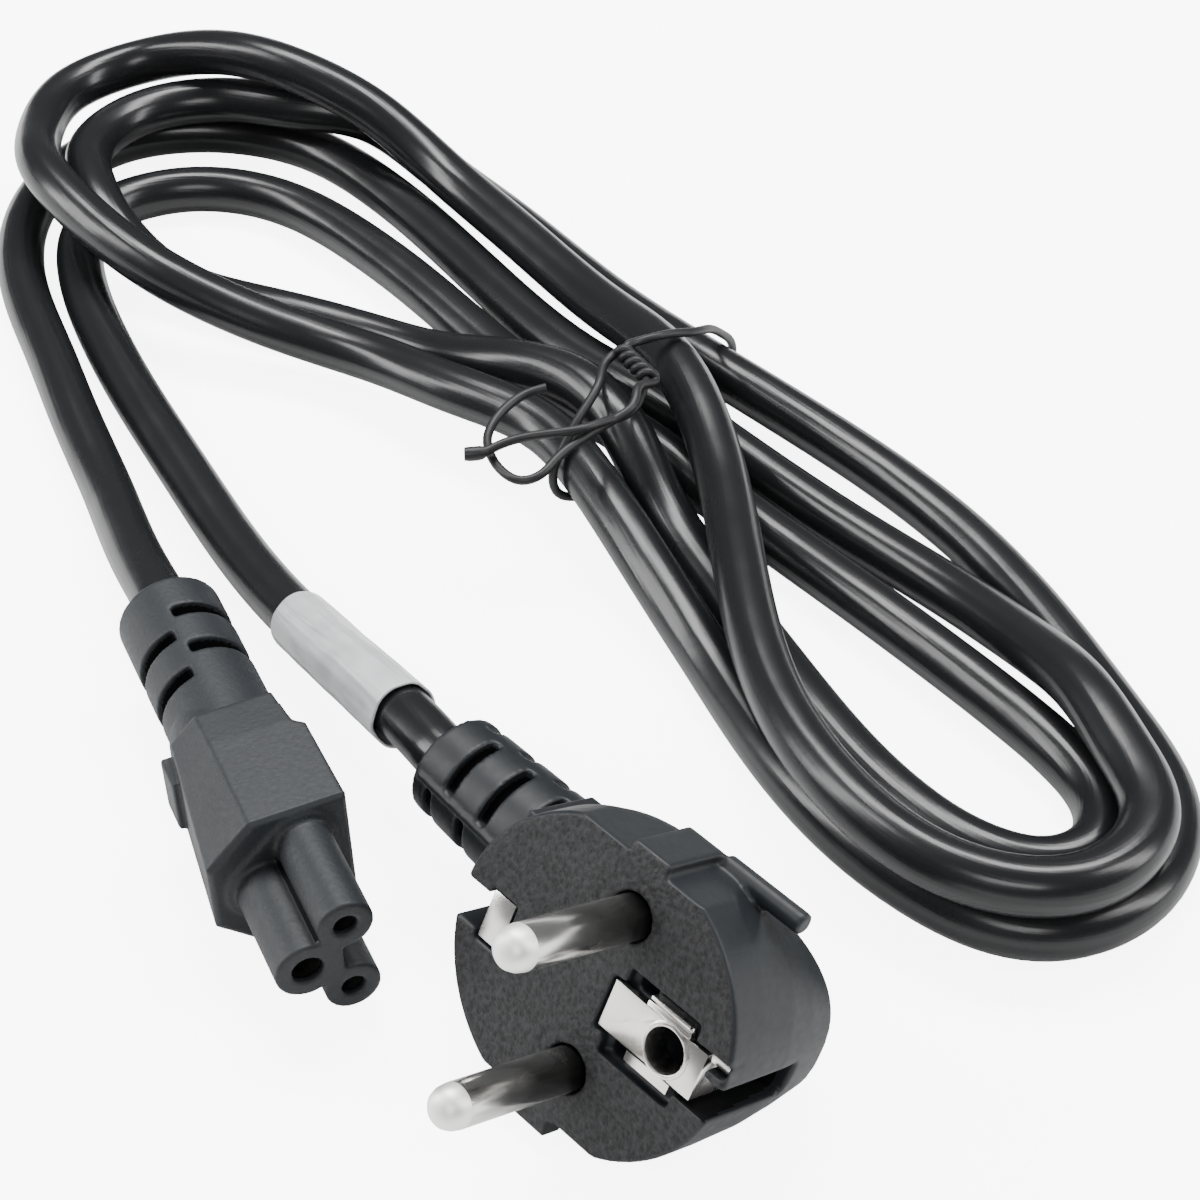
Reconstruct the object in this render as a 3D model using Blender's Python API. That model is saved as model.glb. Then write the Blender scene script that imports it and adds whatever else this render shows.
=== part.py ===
"""A 1.6 m mains lead with an angled European plug and a cloverleaf appliance connector.
It lies on a table as it is sold: folded three times into a hank, with a wire tie round the middle.
Blender 4.5, metres, +Z up. The table is at Z = 0, and the camera side of the object is -Y."""

import math

import bmesh
import bpy
import numpy as np
from mathutils import Matrix, Vector

MM = 0.001
FIT_GAP = 0.3 * MM

# Cord
CORD_DIAMETER = 6.8 * MM
CORD_SIDES_PER_QUARTER = 2
CORD_BEND_SAG = 0.75 * MM
LEAD_IN = 2.5 * MM

# Connector: its X is the way the nose points, its Y is away from the earth contact, and Z is up
CONNECTOR_FACE_AT = Vector((-32.0, -56.0, 9.58)) * MM
CONNECTOR_HEADING = math.radians(-65.9)
CONNECTOR_ROLL = math.radians(1.8)
BODY_LENGTH = 20.0 * MM
BODY_HEIGHT = 18.9 * MM
BODY_RIGHT = 5.4 * MM
BODY_LEFT = 10.9 * MM
BODY_CORNER_ACROSS = 5.4 * MM
BODY_CORNER_DOWN = 5.1 * MM
BODY_EDGE_ROUND = 1.0 * MM
BODY_TAPER = 0.11
NOSE_LENGTH = 13.7 * MM
LINE_SPACING = 9.6 * MM
EARTH_OFFSET = 4.7 * MM
LINE_TUBE_DIAMETER = 6.3 * MM
EARTH_TUBE_DIAMETER = 7.2 * MM
LINE_ENTRY_DIAMETER = 2.6 * MM
EARTH_ENTRY_DIAMETER = 3.5 * MM
ENTRY_DEPTH = 1.0 * MM
CONTACT_LENGTH = 9.0 * MM
CONTACT_WALL = 0.45 * MM
CONTACT_PLAY = 0.25 * MM
WEB_EDGE = 1.2 * MM
WEB_CORNER = 3.8 * MM
SHOULDER_LENGTH = 4.0 * MM
CONNECTOR_RELIEF_LENGTH = 22.2 * MM
CONNECTOR_RELIEF_DIAMETER = 12.8 * MM
CONNECTOR_RELIEF_SIDE = 1.2 * MM
RELIEF_SLOT_WIDTH = 1.3 * MM
RELIEF_CORE_DIAMETER = 8.8 * MM
RELIEF_RIDGE = 0.8 * MM
CONNECTOR_SLOT_START = 6.2 * MM
CONNECTOR_SLOT_STAGGER = 3.8 * MM
CONNECTOR_RIDGE_SIDE = 1.2 * MM
CONNECTOR_SLOT_PITCH = 6.7 * MM
CONNECTOR_SLOTS = 2
BODY_STEP_AT = 12.4 * MM
BODY_STEP = 1.2 * MM
BODY_REAR_STEP = 1.9 * MM
RIB_START = 13.0 * MM
RIB_END = 19.6 * MM
RIB_OUT = 10.2 * MM
RIB_LOW = -3.4 * MM
RIB_TOP = 3.8 * MM
NOSE_LIP_HEIGHT = 0.35 * MM
NOSE_LIP_MARGIN = 0.9 * MM

# Plug: its X is away from the cord, its Y is towards the upper pin, and Z is the way the pins point
PLUG_FACE_AT = Vector((-0.4, -81.1, 18.15)) * MM
PLUG_AWAY = Vector((0.6891, -0.7231, -0.0444))
PLUG_PINS_WAY = Vector((-0.637, -0.633, 0.440))
FACE_WIDTH = 34.8 * MM
FACE_FRONT = 17.4 * MM
FACE_BACK = 20.0 * MM
FLAT_AT = 15.5 * MM
FACE_DEPTH = 5.0 * MM
FACE_EDGE = 0.9 * MM
WAIST_DEPTH = 10.0 * MM
WAIST_WIDTH = 30.8 * MM
WAIST_FRONT_END = 17.3 * MM
GRIP_DEPTH = 18.0 * MM
GRIP_WIDTH = 21.0 * MM
GRIP_FRONT_END = 16.6 * MM
BACK_DEPTH = 24.0 * MM
BACK_WIDTH = 14.4 * MM
BACK_FRONT_END = 12.8 * MM
BACK_ROUND = 1.5 * MM
CABLE_END = 19.8 * MM
CABLE_END_WIDTH = 16.4 * MM
CABLE_END_TOP = 6.0 * MM
LOFT_BACK = 19.5 * MM
PIN_SPACING = 19.0 * MM
PIN_DIAMETER = 4.8 * MM
PIN_LENGTH = 19.0 * MM
PIN_SEAT_DEPTH = 3.0 * MM
EARTH_HOLE_OFFSET = 9.6 * MM
EARTH_HOLE_DIAMETER = 5.1 * MM
EARTH_HOLE_DEPTH = 15.0 * MM
EARTH_PLATE_WIDTH = 5.8 * MM
EARTH_PLATE_START = 1.3 * MM
EARTH_PLATE_THICKNESS = 0.8 * MM
EARTH_PLATE_END = 14.2 * MM
EARTH_FOLD_DEPTH = 6.0 * MM
SIDE_SLOT_START = 13.0 * MM
SIDE_SLOT_DEPTH = 16.2 * MM
RECESS_WIDTH = 11.0 * MM
RECESS_START = 2.8 * MM
RECESS_END = 12.3 * MM
RECESS_DEPTH = 1.4 * MM
CLIP_INNER = 13.0 * MM
CLIP_OUTER = 16.2 * MM
CLIP_DEPTH = 8.0 * MM
CLIP_SIDE = 1.2 * MM
NOTCH_WIDTH = 4.6 * MM
NOTCH_DEPTH = 7.5 * MM
CLIP_THICKNESS = 0.8 * MM
PAD_START = -3.2 * MM
PAD_WIDTH = 5.1 * MM
PAD_HEIGHT = 16.8 * MM
PAD_DEPTH = 9.3 * MM
LOWER_PAD_START = -4.4 * MM
LOWER_PAD_HEIGHT = 17.8 * MM
LOWER_PAD_DEPTH = 3.0 * MM
BAR_START = 2.2 * MM
BAR_LENGTH = 10.8 * MM
BAR_AT = 15.5 * MM
BAR_DEPTH = 9.8 * MM
BAR_DIAMETER = 2.4 * MM
PLUG_RELIEF_LENGTH = 18.8 * MM
PLUG_RELIEF_DROOP = 1.5 * MM
PLUG_RELIEF_START_DIAMETER = 14.2 * MM
PLUG_RELIEF_END_DIAMETER = 12.4 * MM
PLUG_RELIEF_BACK = 15.3 * MM
PLUG_SLOT_START = 1.65 * MM
PLUG_SLOT_PITCH = 5.9 * MM
PLUG_SLOTS = 3

# Label sleeve on the cord near the plug
SLEEVE_LENGTH = 26.8 * MM
SLEEVE_START = 2.0 * MM
SLEEVE_WALL = 0.6 * MM
SLEEVE_PLAY = 0.55 * MM

# Wire tie round the middle of the hank
TIE_DIAMETER = 1.2 * MM
KNOT_DIAMETER = 3.4 * MM

# The middle of the plug and the connector, on the table
MIDDLE = Vector((-17.149, -54.147, -0.038)) * MM

# The cord's route in millimetres on the table, chosen by hand along the photographed strands.
# It starts at the connector, makes the hank's three turns and ends at the plug.
LEAD_FROM_CONNECTOR = [
    (-58.5, 1, 6.8), (-65, 19, 3.5), (-71, 33.5, 3.5), (-77, 49, 3.5), (-83, 65, 3.5),
]
TURN_ONE_LEFT = [
    (-85.3, 79, 3.5), (-83, 93, 3.5), (-74, 104.5, 3.5), (-60, 107.5, 3.5), (-46, 103, 3.5),
    (-35, 93, 3.5), (-15.6, 65.2, 3.5), (0.4, 42.6, 4.8),
]
TURN_ONE_RIGHT = [
    (8, 34.8, 5.5), (17, 26, 4.4), (32, 10, 3.5), (44.5, -4.5, 4.6), (52, -17.5, 7.8), (56, -27, 10.3),
    (59.5, -38, 10.7),
    (61, -49, 10.7), (53, -58.5, 10.7), (41, -58, 10.7), (28, -46, 10.7), (20, -27, 10.7),
    (17, -4, 11), (15.5, 12, 11),
]
TURN_TWO_LEFT = [
    (10, 33, 12.7), (1, 50, 9.8), (-13, 72, 8.7), (-24, 86.5, 10), (-34, 94.5, 14.8),
    (-45, 99.5, 18.5), (-58, 106.5, 18), (-71, 109.5, 14.5), (-80.8, 102.5, 13.6), (-83.3, 90, 13.8),
    (-80.3, 77, 15.4), (-73, 67, 14), (-60, 56, 11), (-44, 49.5, 7), (-30, 42.5, 6.5),
    (-19.4, 33.6, 8.2),
]
TURN_TWO_RIGHT = [
    (-8.3, 25.2, 8.8), (-1, 13.8, 8.4), (6.9, -2.4, 5.9), (12.8, -14.2, 3.7), (21, -33, 3.5), (35, -52.5, 3.5),
    (48, -59.3, 3.5), (59.5, -55, 3.5), (65.5, -43, 3.5), (62, -26, 3.5), (47, 8, 3.5),
    (27, 32, 4.4),
]
TURN_THREE_LEFT = [
    (14, 44.5, 5.4), (1, 61.5, 4), (-14, 83, 3.5), (-26, 96.5, 5), (-35, 100, 9.9),
    (-46, 101.5, 11.3), (-58, 105, 10.5), (-70, 102, 10), (-76, 93, 10), (-74.6, 81, 10.7),
    (-70.8, 73, 9.2), (-63, 66.5, 4.5), (-49, 59.5, 3.5), (-34.6, 53.5, 3.5), (-23.8, 47.3, 4.4),
    (-13.7, 38.8, 9.1),
]
TURN_THREE_RIGHT = [
    (-3.5, 31, 11.8), (2.6, 22.6, 11), (8.2, 11.6, 5.4), (14, 0.2, 3.5), (24, -21, 3.5), (36, -41, 3.5),
    (44.5, -48.2, 3.5), (50.5, -49.6, 3.5), (55.8, -46.8, 3.5), (57.6, -40.8, 3.5), (54.7, -32.5, 3.5),
    (48.5, -23.5, 3.5), (34, -5.5, 3.5), (16, 15.5, 3.7),
]
LEAD_TO_PLUG = [
    (3.2, 28.2, 5.5), (-10.5, 43.8, 3.5), (-21.5, 58.5, 3.5), (-37, 78, 3.5), (-50, 88.5, 3.5),
    (-64, 90.5, 3.5), (-75, 83, 3.5), (-75.2, 68, 3.5), (-70.5, 54, 3.5), (-63, 37.5, 3.5),
    (-55, 22, 3.5), (-46.3, 5.3, 4), (-37.5, -9.9, 6.1), (-32.17, -18.23, 8), (-26.83, -26.57, 9.9),
    (-21.5, -34.9, 11.8),
]
TIE_LOOP = [
    (15.9, 48.3, 8.2), (13.8, 45.6, 11), (11.4, 41.2, 14.8), (8.2, 37.6, 16.4), (5, 35, 16.6),
    (2, 32, 16.2), (-1.6, 28.4, 16.1), (-6, 24, 14.8), (-10.5, 19.2, 11.5), (-10.8, 18, 7), (-6, 20.3, 2.6),
    (1.8, 27.6, 0.7), (9, 36.5, 0.7), (13.6, 43.4, 0.7), (17, 46.8, 1.2), (18.4, 48.4, 3.4),
    (17.8, 49.1, 6),
]
KNOT_MIDDLE = (3, 32.5, 17.6)
KNOT_END = (6.4, 29.6, 17)
TAIL_ONE = [
    (4, 31.7, 17.6), (2.4, 26.5, 18.2), (-4, 21, 18), (-11, 14.5, 17.5), (-16, 14.6, 16.4), (-17.5, 18.5, 15.6),
    (-9, 30, 16),
]
TAIL_TWO = [
    (1, 34.2, 17.6), (-1, 29, 19), (-5, 21, 20.2), (-12, 18.5, 20), (-21, 18.5, 18.6),
]

PI = math.pi


def clear_scene():
    for item in list(bpy.data.objects):
        bpy.data.objects.remove(item, do_unlink=True)


def new_collection(name):
    found = bpy.data.collections.new(name)
    bpy.context.scene.collection.children.link(found)
    return found


def material(name, color, roughness, metallic=0.0):
    made = bpy.data.materials.new(name)
    made.use_nodes = True
    shader = made.node_tree.nodes["Principled BSDF"]
    shader.inputs["Base Color"].default_value = (*color, 1)
    shader.inputs["Roughness"].default_value = roughness
    shader.inputs["Metallic"].default_value = metallic
    made.diffuse_color = (*color, 1)
    return made


def frame_of(x_way, z_way, at):
    """The place of a piece from where its X and its Z point."""
    z = z_way.normalized()
    x = (x_way - z * x_way.dot(z)).normalized()
    y = z.cross(x)
    turn = Matrix((x, y, z)).transposed().to_4x4()
    return Matrix.Translation(at) @ turn


def empty(name, place, parent=None):
    made = bpy.data.objects.new(name, None)
    parts.objects.link(made)
    made.parent = parent
    made.matrix_local = place
    return made


def mesh_object(name, bm, parent, look, collection=None):
    bmesh.ops.recalc_face_normals(bm, faces=bm.faces[:])
    data = bpy.data.meshes.new(name)
    bm.to_mesh(data)
    bm.free()
    made = bpy.data.objects.new(name, data)
    (collection or parts).objects.link(made)
    made.parent = parent
    if look:
        data.materials.append(look)
    return made


def shade_smooth(item, degrees=35):
    for face in item.data.polygons:
        face.use_smooth = True
    item.data.set_sharp_from_angle(angle=math.radians(degrees))


def add_cylinder(bm, start, way, length, radius, end_radius=None, sides=32):
    """A cylinder or a cone that starts at a point and runs along a direction."""
    way = way.normalized()
    turn = Vector((0, 0, 1)).rotation_difference(way).to_matrix().to_4x4()
    place = Matrix.Translation(start + way * length / 2) @ turn
    bmesh.ops.create_cone(
        bm,
        cap_ends=True,
        segments=sides,
        radius1=radius,
        radius2=radius if end_radius is None else end_radius,
        depth=length,
        matrix=place,
    )


def add_box(bm, low, high):
    low, high = Vector(low), Vector(high)
    size = high - low
    place = Matrix.Translation((low + high) / 2) @ Matrix.Diagonal((*size, 1))
    bmesh.ops.create_cube(bm, size=1, matrix=place)


def add_loft(bm, rings):
    """A closed body through rings of points, all with the same count."""
    loops = [[bm.verts.new(point) for point in ring] for ring in rings]
    count = len(loops[0])
    for lower, upper in zip(loops, loops[1:]):
        for k in range(count):
            after = (k + 1) % count
            bm.faces.new((lower[k], lower[after], upper[after], upper[k]))
    bm.faces.new(list(reversed(loops[0])))
    bm.faces.new(loops[-1])


def boolean(item, other, operation):
    """Cuts or joins with an exact Boolean, applied at once, so that the helper can go."""
    modifier = item.modifiers.new("cut" if operation == "DIFFERENCE" else "join", "BOOLEAN")
    modifier.operation = operation
    modifier.solver = "EXACT"
    modifier.object = other
    bpy.context.view_layer.update()
    graph = bpy.context.evaluated_depsgraph_get()
    result = bpy.data.meshes.new_from_object(item.evaluated_get(graph))
    item.modifiers.remove(modifier)
    old = item.data
    item.data = result
    bpy.data.meshes.remove(old)
    bpy.data.objects.remove(other, do_unlink=True)


def helper(bm, parent):
    made = mesh_object("helper", bm, parent, None, cutters)
    made.hide_render = True
    made.display_type = "WIRE"
    return made


def cut(item, *shapes):
    for shape in shapes:
        bm = bmesh.new()
        shape(bm)
        boolean(item, helper(bm, item.parent), "DIFFERENCE")


def join(item, *shapes):
    for shape in shapes:
        bm = bmesh.new()
        shape(bm)
        boolean(item, helper(bm, item.parent), "UNION")


def smooth_route(points):
    """Reads closely spaced points from the natural cubic spline through the given ones."""
    p = np.array(points, dtype=float)
    chord = np.linalg.norm(np.diff(p, axis=0), axis=1)
    t = np.concatenate(([0.0], np.cumsum(chord)))
    n = len(p)
    system = np.zeros((n, n))
    right = np.zeros((n, 3))
    system[0, 0] = system[-1, -1] = 1.0
    for i in range(1, n - 1):
        system[i, i - 1] = chord[i - 1]
        system[i, i] = 2 * (chord[i - 1] + chord[i])
        system[i, i + 1] = chord[i]
        right[i] = 6 * ((p[i + 1] - p[i]) / chord[i] - (p[i] - p[i - 1]) / chord[i - 1])
    bend = np.linalg.solve(system, right)
    found = []
    for i in range(n - 1):
        for u in np.linspace(0, chord[i], 12, endpoint=False):
            v = chord[i] - u
            h = chord[i]
            point = (
                bend[i] * v**3 / (6 * h)
                + bend[i + 1] * u**3 / (6 * h)
                + (p[i] / h - bend[i] * h / 6) * v
                + (p[i + 1] / h - bend[i + 1] * h / 6) * u
            )
            found.append(point)
    found.append(p[-1])
    return np.array(found)


def thinned(fine, sag, least, most):
    """Keeps points close together at bends and far apart on straight runs."""
    keep = [0]
    here = 0
    while here < len(fine) - 1:
        reach = here + 1
        while reach < len(fine) - 1:
            run = fine[here : reach + 2]
            length = np.linalg.norm(np.diff(run, axis=0), axis=1).sum()
            chord = run[-1] - run[0]
            away = run - run[0]
            along = np.outer(away @ chord, chord) / max(chord @ chord, 1e-12)
            if length > most or (
                length > least and np.linalg.norm(away - along, axis=1).max() > sag
            ):
                break
            reach += 1
        keep.append(reach)
        here = reach
    return fine[keep]


def tube(name, points, diameter, parent, look, bevel_resolution, closed=False):
    data = bpy.data.curves.new(name, "CURVE")
    data.dimensions = "3D"
    data.bevel_depth = diameter / 2
    data.bevel_resolution = bevel_resolution
    data.use_fill_caps = not closed
    line = data.splines.new("POLY")
    line.points.add(len(points) - 1)
    for point, place in zip(line.points, points):
        point.co = (*place, 1)
    line.use_cyclic_u = closed
    data.materials.append(look)
    made = bpy.data.objects.new(name, data)
    parts.objects.link(made)
    made.parent = parent
    return made


# Connector, moulded in one piece with its ribbed strain relief
def body_outline(x, inset=0.0, step=0.0):
    """The body's section, a rectangle with both corners on the earth side cut off, narrower at the back."""
    top = BODY_HEIGHT / 2 - inset
    right = BODY_RIGHT - inset - step
    taper = -x * BODY_TAPER
    left = -BODY_LEFT + inset + taper
    corner_across = -BODY_LEFT + BODY_CORNER_ACROSS + inset * 0.6
    corner_down = top - BODY_CORNER_DOWN * (1 - taper / BODY_CORNER_ACROSS) + inset * 0.4
    section = [
        (right, -top), (right, top), (corner_across, top),
        (left, corner_down), (left, -corner_down), (corner_across, -top),
    ]
    return [(x, y, z) for y, z in section]


def round_outline(x, radius, middle_y, count=24, start=0.0):
    return [
        (x, middle_y + radius * math.cos(start + 2 * PI * k / count), radius * math.sin(start + 2 * PI * k / count))
        for k in range(count)
    ]


def connector_tube_places():
    half = LINE_SPACING / 2
    return [
        ("line", 0.0, half, LINE_TUBE_DIAMETER, LINE_ENTRY_DIAMETER),
        ("neutral", 0.0, -half, LINE_TUBE_DIAMETER, LINE_ENTRY_DIAMETER),
        ("earth", -EARTH_OFFSET, 0.0, EARTH_TUBE_DIAMETER, EARTH_ENTRY_DIAMETER),
    ]


def nose_lip(bm):
    """The low rounded triangle that the nose stands on."""
    circle = []
    for name, y, z, outer, entry in connector_tube_places():
        radius = outer / 2 + NOSE_LIP_MARGIN
        for k in range(24):
            angle = 2 * PI * (k + 0.5) / 24
            circle.append(Vector((0, y + radius * math.cos(angle), z + radius * math.sin(angle))))
    limit = BODY_HEIGHT / 2 - 1.5 * BODY_EDGE_ROUND
    for x in (-1 * MM, NOSE_LIP_HEIGHT):
        for point in circle:
            bm.verts.new((x, min(point.y, BODY_RIGHT - 1.5 * BODY_EDGE_ROUND), max(-limit, min(limit, point.z))))
    hull = bmesh.ops.convex_hull(bm, input=bm.verts[:])
    inside = [item for item in hull["geom_interior"] if isinstance(item, bmesh.types.BMVert)]
    bmesh.ops.delete(bm, geom=inside, context="VERTS")
    bmesh.ops.remove_doubles(bm, verts=bm.verts[:], dist=0.01 * MM)


def contact_diameter(entry_diameter):
    return entry_diameter + 2 * CONTACT_WALL + 2 * CONTACT_PLAY - CONTACT_WALL


def build_connector(frame, plastic, metal):
    bm = bmesh.new()
    add_loft(
        bm,
        [
            body_outline(-BODY_LENGTH, BODY_EDGE_ROUND, BODY_REAR_STEP),
            body_outline(-BODY_LENGTH + BODY_EDGE_ROUND, 0.0, BODY_REAR_STEP),
            body_outline(-BODY_STEP_AT - BODY_EDGE_ROUND, 0.0, BODY_STEP),
            body_outline(-BODY_STEP_AT, 0.0),
            body_outline(-BODY_EDGE_ROUND, 0.0),
            body_outline(0.0, BODY_EDGE_ROUND),
        ],
    )
    body = mesh_object("connector_body", bm, frame, plastic)
    relief_start = -BODY_LENGTH - SHOULDER_LENGTH
    relief_end = relief_start - CONNECTOR_RELIEF_LENGTH
    relief_radius = CONNECTOR_RELIEF_DIAMETER / 2
    middle_y = -CONNECTOR_RELIEF_SIDE

    def shoulder(bm):
        add_cylinder(
            bm,
            Vector((-BODY_LENGTH / 2, middle_y, 0)),
            Vector((-1, 0, 0)),
            BODY_LENGTH / 2 + SHOULDER_LENGTH + CONNECTOR_RELIEF_LENGTH,
            relief_radius,
            sides=28,
        )

    def cone(bm):
        add_cylinder(
            bm,
            Vector((-BODY_LENGTH + 1.5 * MM, middle_y - 1.0 * MM, 0)),
            Vector((-1, 0, 0)),
            SHOULDER_LENGTH + 1.5 * MM,
            relief_radius + 0.3 * MM,
            relief_radius - 0.5 * MM,
            sides=28,
        )

    join(body, shoulder, cone)
    for name, y, z, outer, entry in connector_tube_places():
        join(
            body,
            lambda bm, y=y, z=z, outer=outer: add_cylinder(
                bm,
                Vector((-2 * MM, y, z)),
                Vector((1, 0, 0)),
                NOSE_LENGTH + 2 * MM,
                outer / 2,
                sides=24,
            ),
        )
    join(
        body,
        lambda bm: add_loft(
            bm,
            [
                [(x, -EARTH_OFFSET, 0), (x, -WEB_EDGE, -WEB_CORNER), (x, -WEB_EDGE, WEB_CORNER)]
                for x in (-2 * MM, NOSE_LENGTH - 0.02 * MM)
            ],
        ),
        lambda bm: add_box(
            bm,
            (-RIB_END, -RIB_OUT, RIB_LOW),
            (-RIB_START, -RIB_OUT + 2.4 * MM, RIB_TOP),
        ),
        nose_lip,
    )
    for name, y, z, outer, entry in connector_tube_places():
        chamber = contact_diameter(entry) + 2 * FIT_GAP
        cut(
            body,
            lambda bm, y=y, z=z, entry=entry: add_cylinder(
                bm, Vector((NOSE_LENGTH - 2 * ENTRY_DEPTH, y, z)), Vector((1, 0, 0)), 4 * ENTRY_DEPTH, entry / 2, sides=20
            ),
            lambda bm, y=y, z=z, chamber=chamber: add_cylinder(
                bm,
                Vector((NOSE_LENGTH - ENTRY_DEPTH, y, z)),
                Vector((-1, 0, 0)),
                CONTACT_LENGTH + 2 * FIT_GAP,
                chamber / 2,
                sides=20,
            ),
        )

    def slots(bm):
        for k in range(CONNECTOR_SLOTS):
            for side, first in ((1, CONNECTOR_SLOT_START), (-1, CONNECTOR_SLOT_START + CONNECTOR_SLOT_STAGGER)):
                x = relief_end + first + k * CONNECTOR_SLOT_PITCH
                ridge_y = middle_y - CONNECTOR_RIDGE_SIDE
                low_y, high_y = sorted((ridge_y + side * RELIEF_RIDGE / 2, ridge_y + side * 2 * relief_radius))
                add_box(bm, (x, low_y, -2 * relief_radius), (x + RELIEF_SLOT_WIDTH, high_y, 2 * relief_radius))

    cut(body, slots)
    join(
        body,
        lambda bm: add_cylinder(
            bm,
            Vector((relief_start + 2 * MM, middle_y, 0)),
            Vector((-1, 0, 0)),
            CONNECTOR_RELIEF_LENGTH,
            RELIEF_CORE_DIAMETER / 2,
            sides=20,
        ),
    )
    shade_smooth(body)
    for name, y, z, outer, entry in connector_tube_places():
        diameter = contact_diameter(entry)
        bm = bmesh.new()
        start = Vector((NOSE_LENGTH - ENTRY_DEPTH - FIT_GAP, y, z))
        add_cylinder(bm, start, Vector((-1, 0, 0)), CONTACT_LENGTH, diameter / 2, sides=20)
        sleeve = mesh_object("connector_contact_" + name, bm, frame, metal)
        cut(
            sleeve,
            lambda bm, start=start, diameter=diameter: add_cylinder(
                bm,
                start + Vector((1 * MM, 0, 0)),
                Vector((-1, 0, 0)),
                CONTACT_LENGTH + 2 * MM,
                diameter / 2 - CONTACT_WALL,
                sides=20,
            ),
        )
        shade_smooth(sleeve)


# Plug
def plug_ring(z, front, back, width, power=2.6, count=40):
    """One section of the plug across its depth, a rounded oblong from back to front."""
    ring = []
    for k in range(count):
        angle = 2 * PI * k / count
        c, s = math.cos(angle), math.sin(angle)
        across = math.copysign(abs(s) ** (2 / power), s) * width / 2
        along = math.copysign(abs(c) ** (2 / power), c)
        ring.append(((front + back) / 2 + along * (front - back) / 2, across, z))
    return ring


def plug_relief_axis(reach):
    """A point on the strain relief's axis, at a distance behind the plug's cable end."""
    droop = PLUG_RELIEF_DROOP * reach / PLUG_RELIEF_LENGTH
    return Vector((-CABLE_END - reach, 0, -PLUG_RELIEF_BACK - droop))


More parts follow.
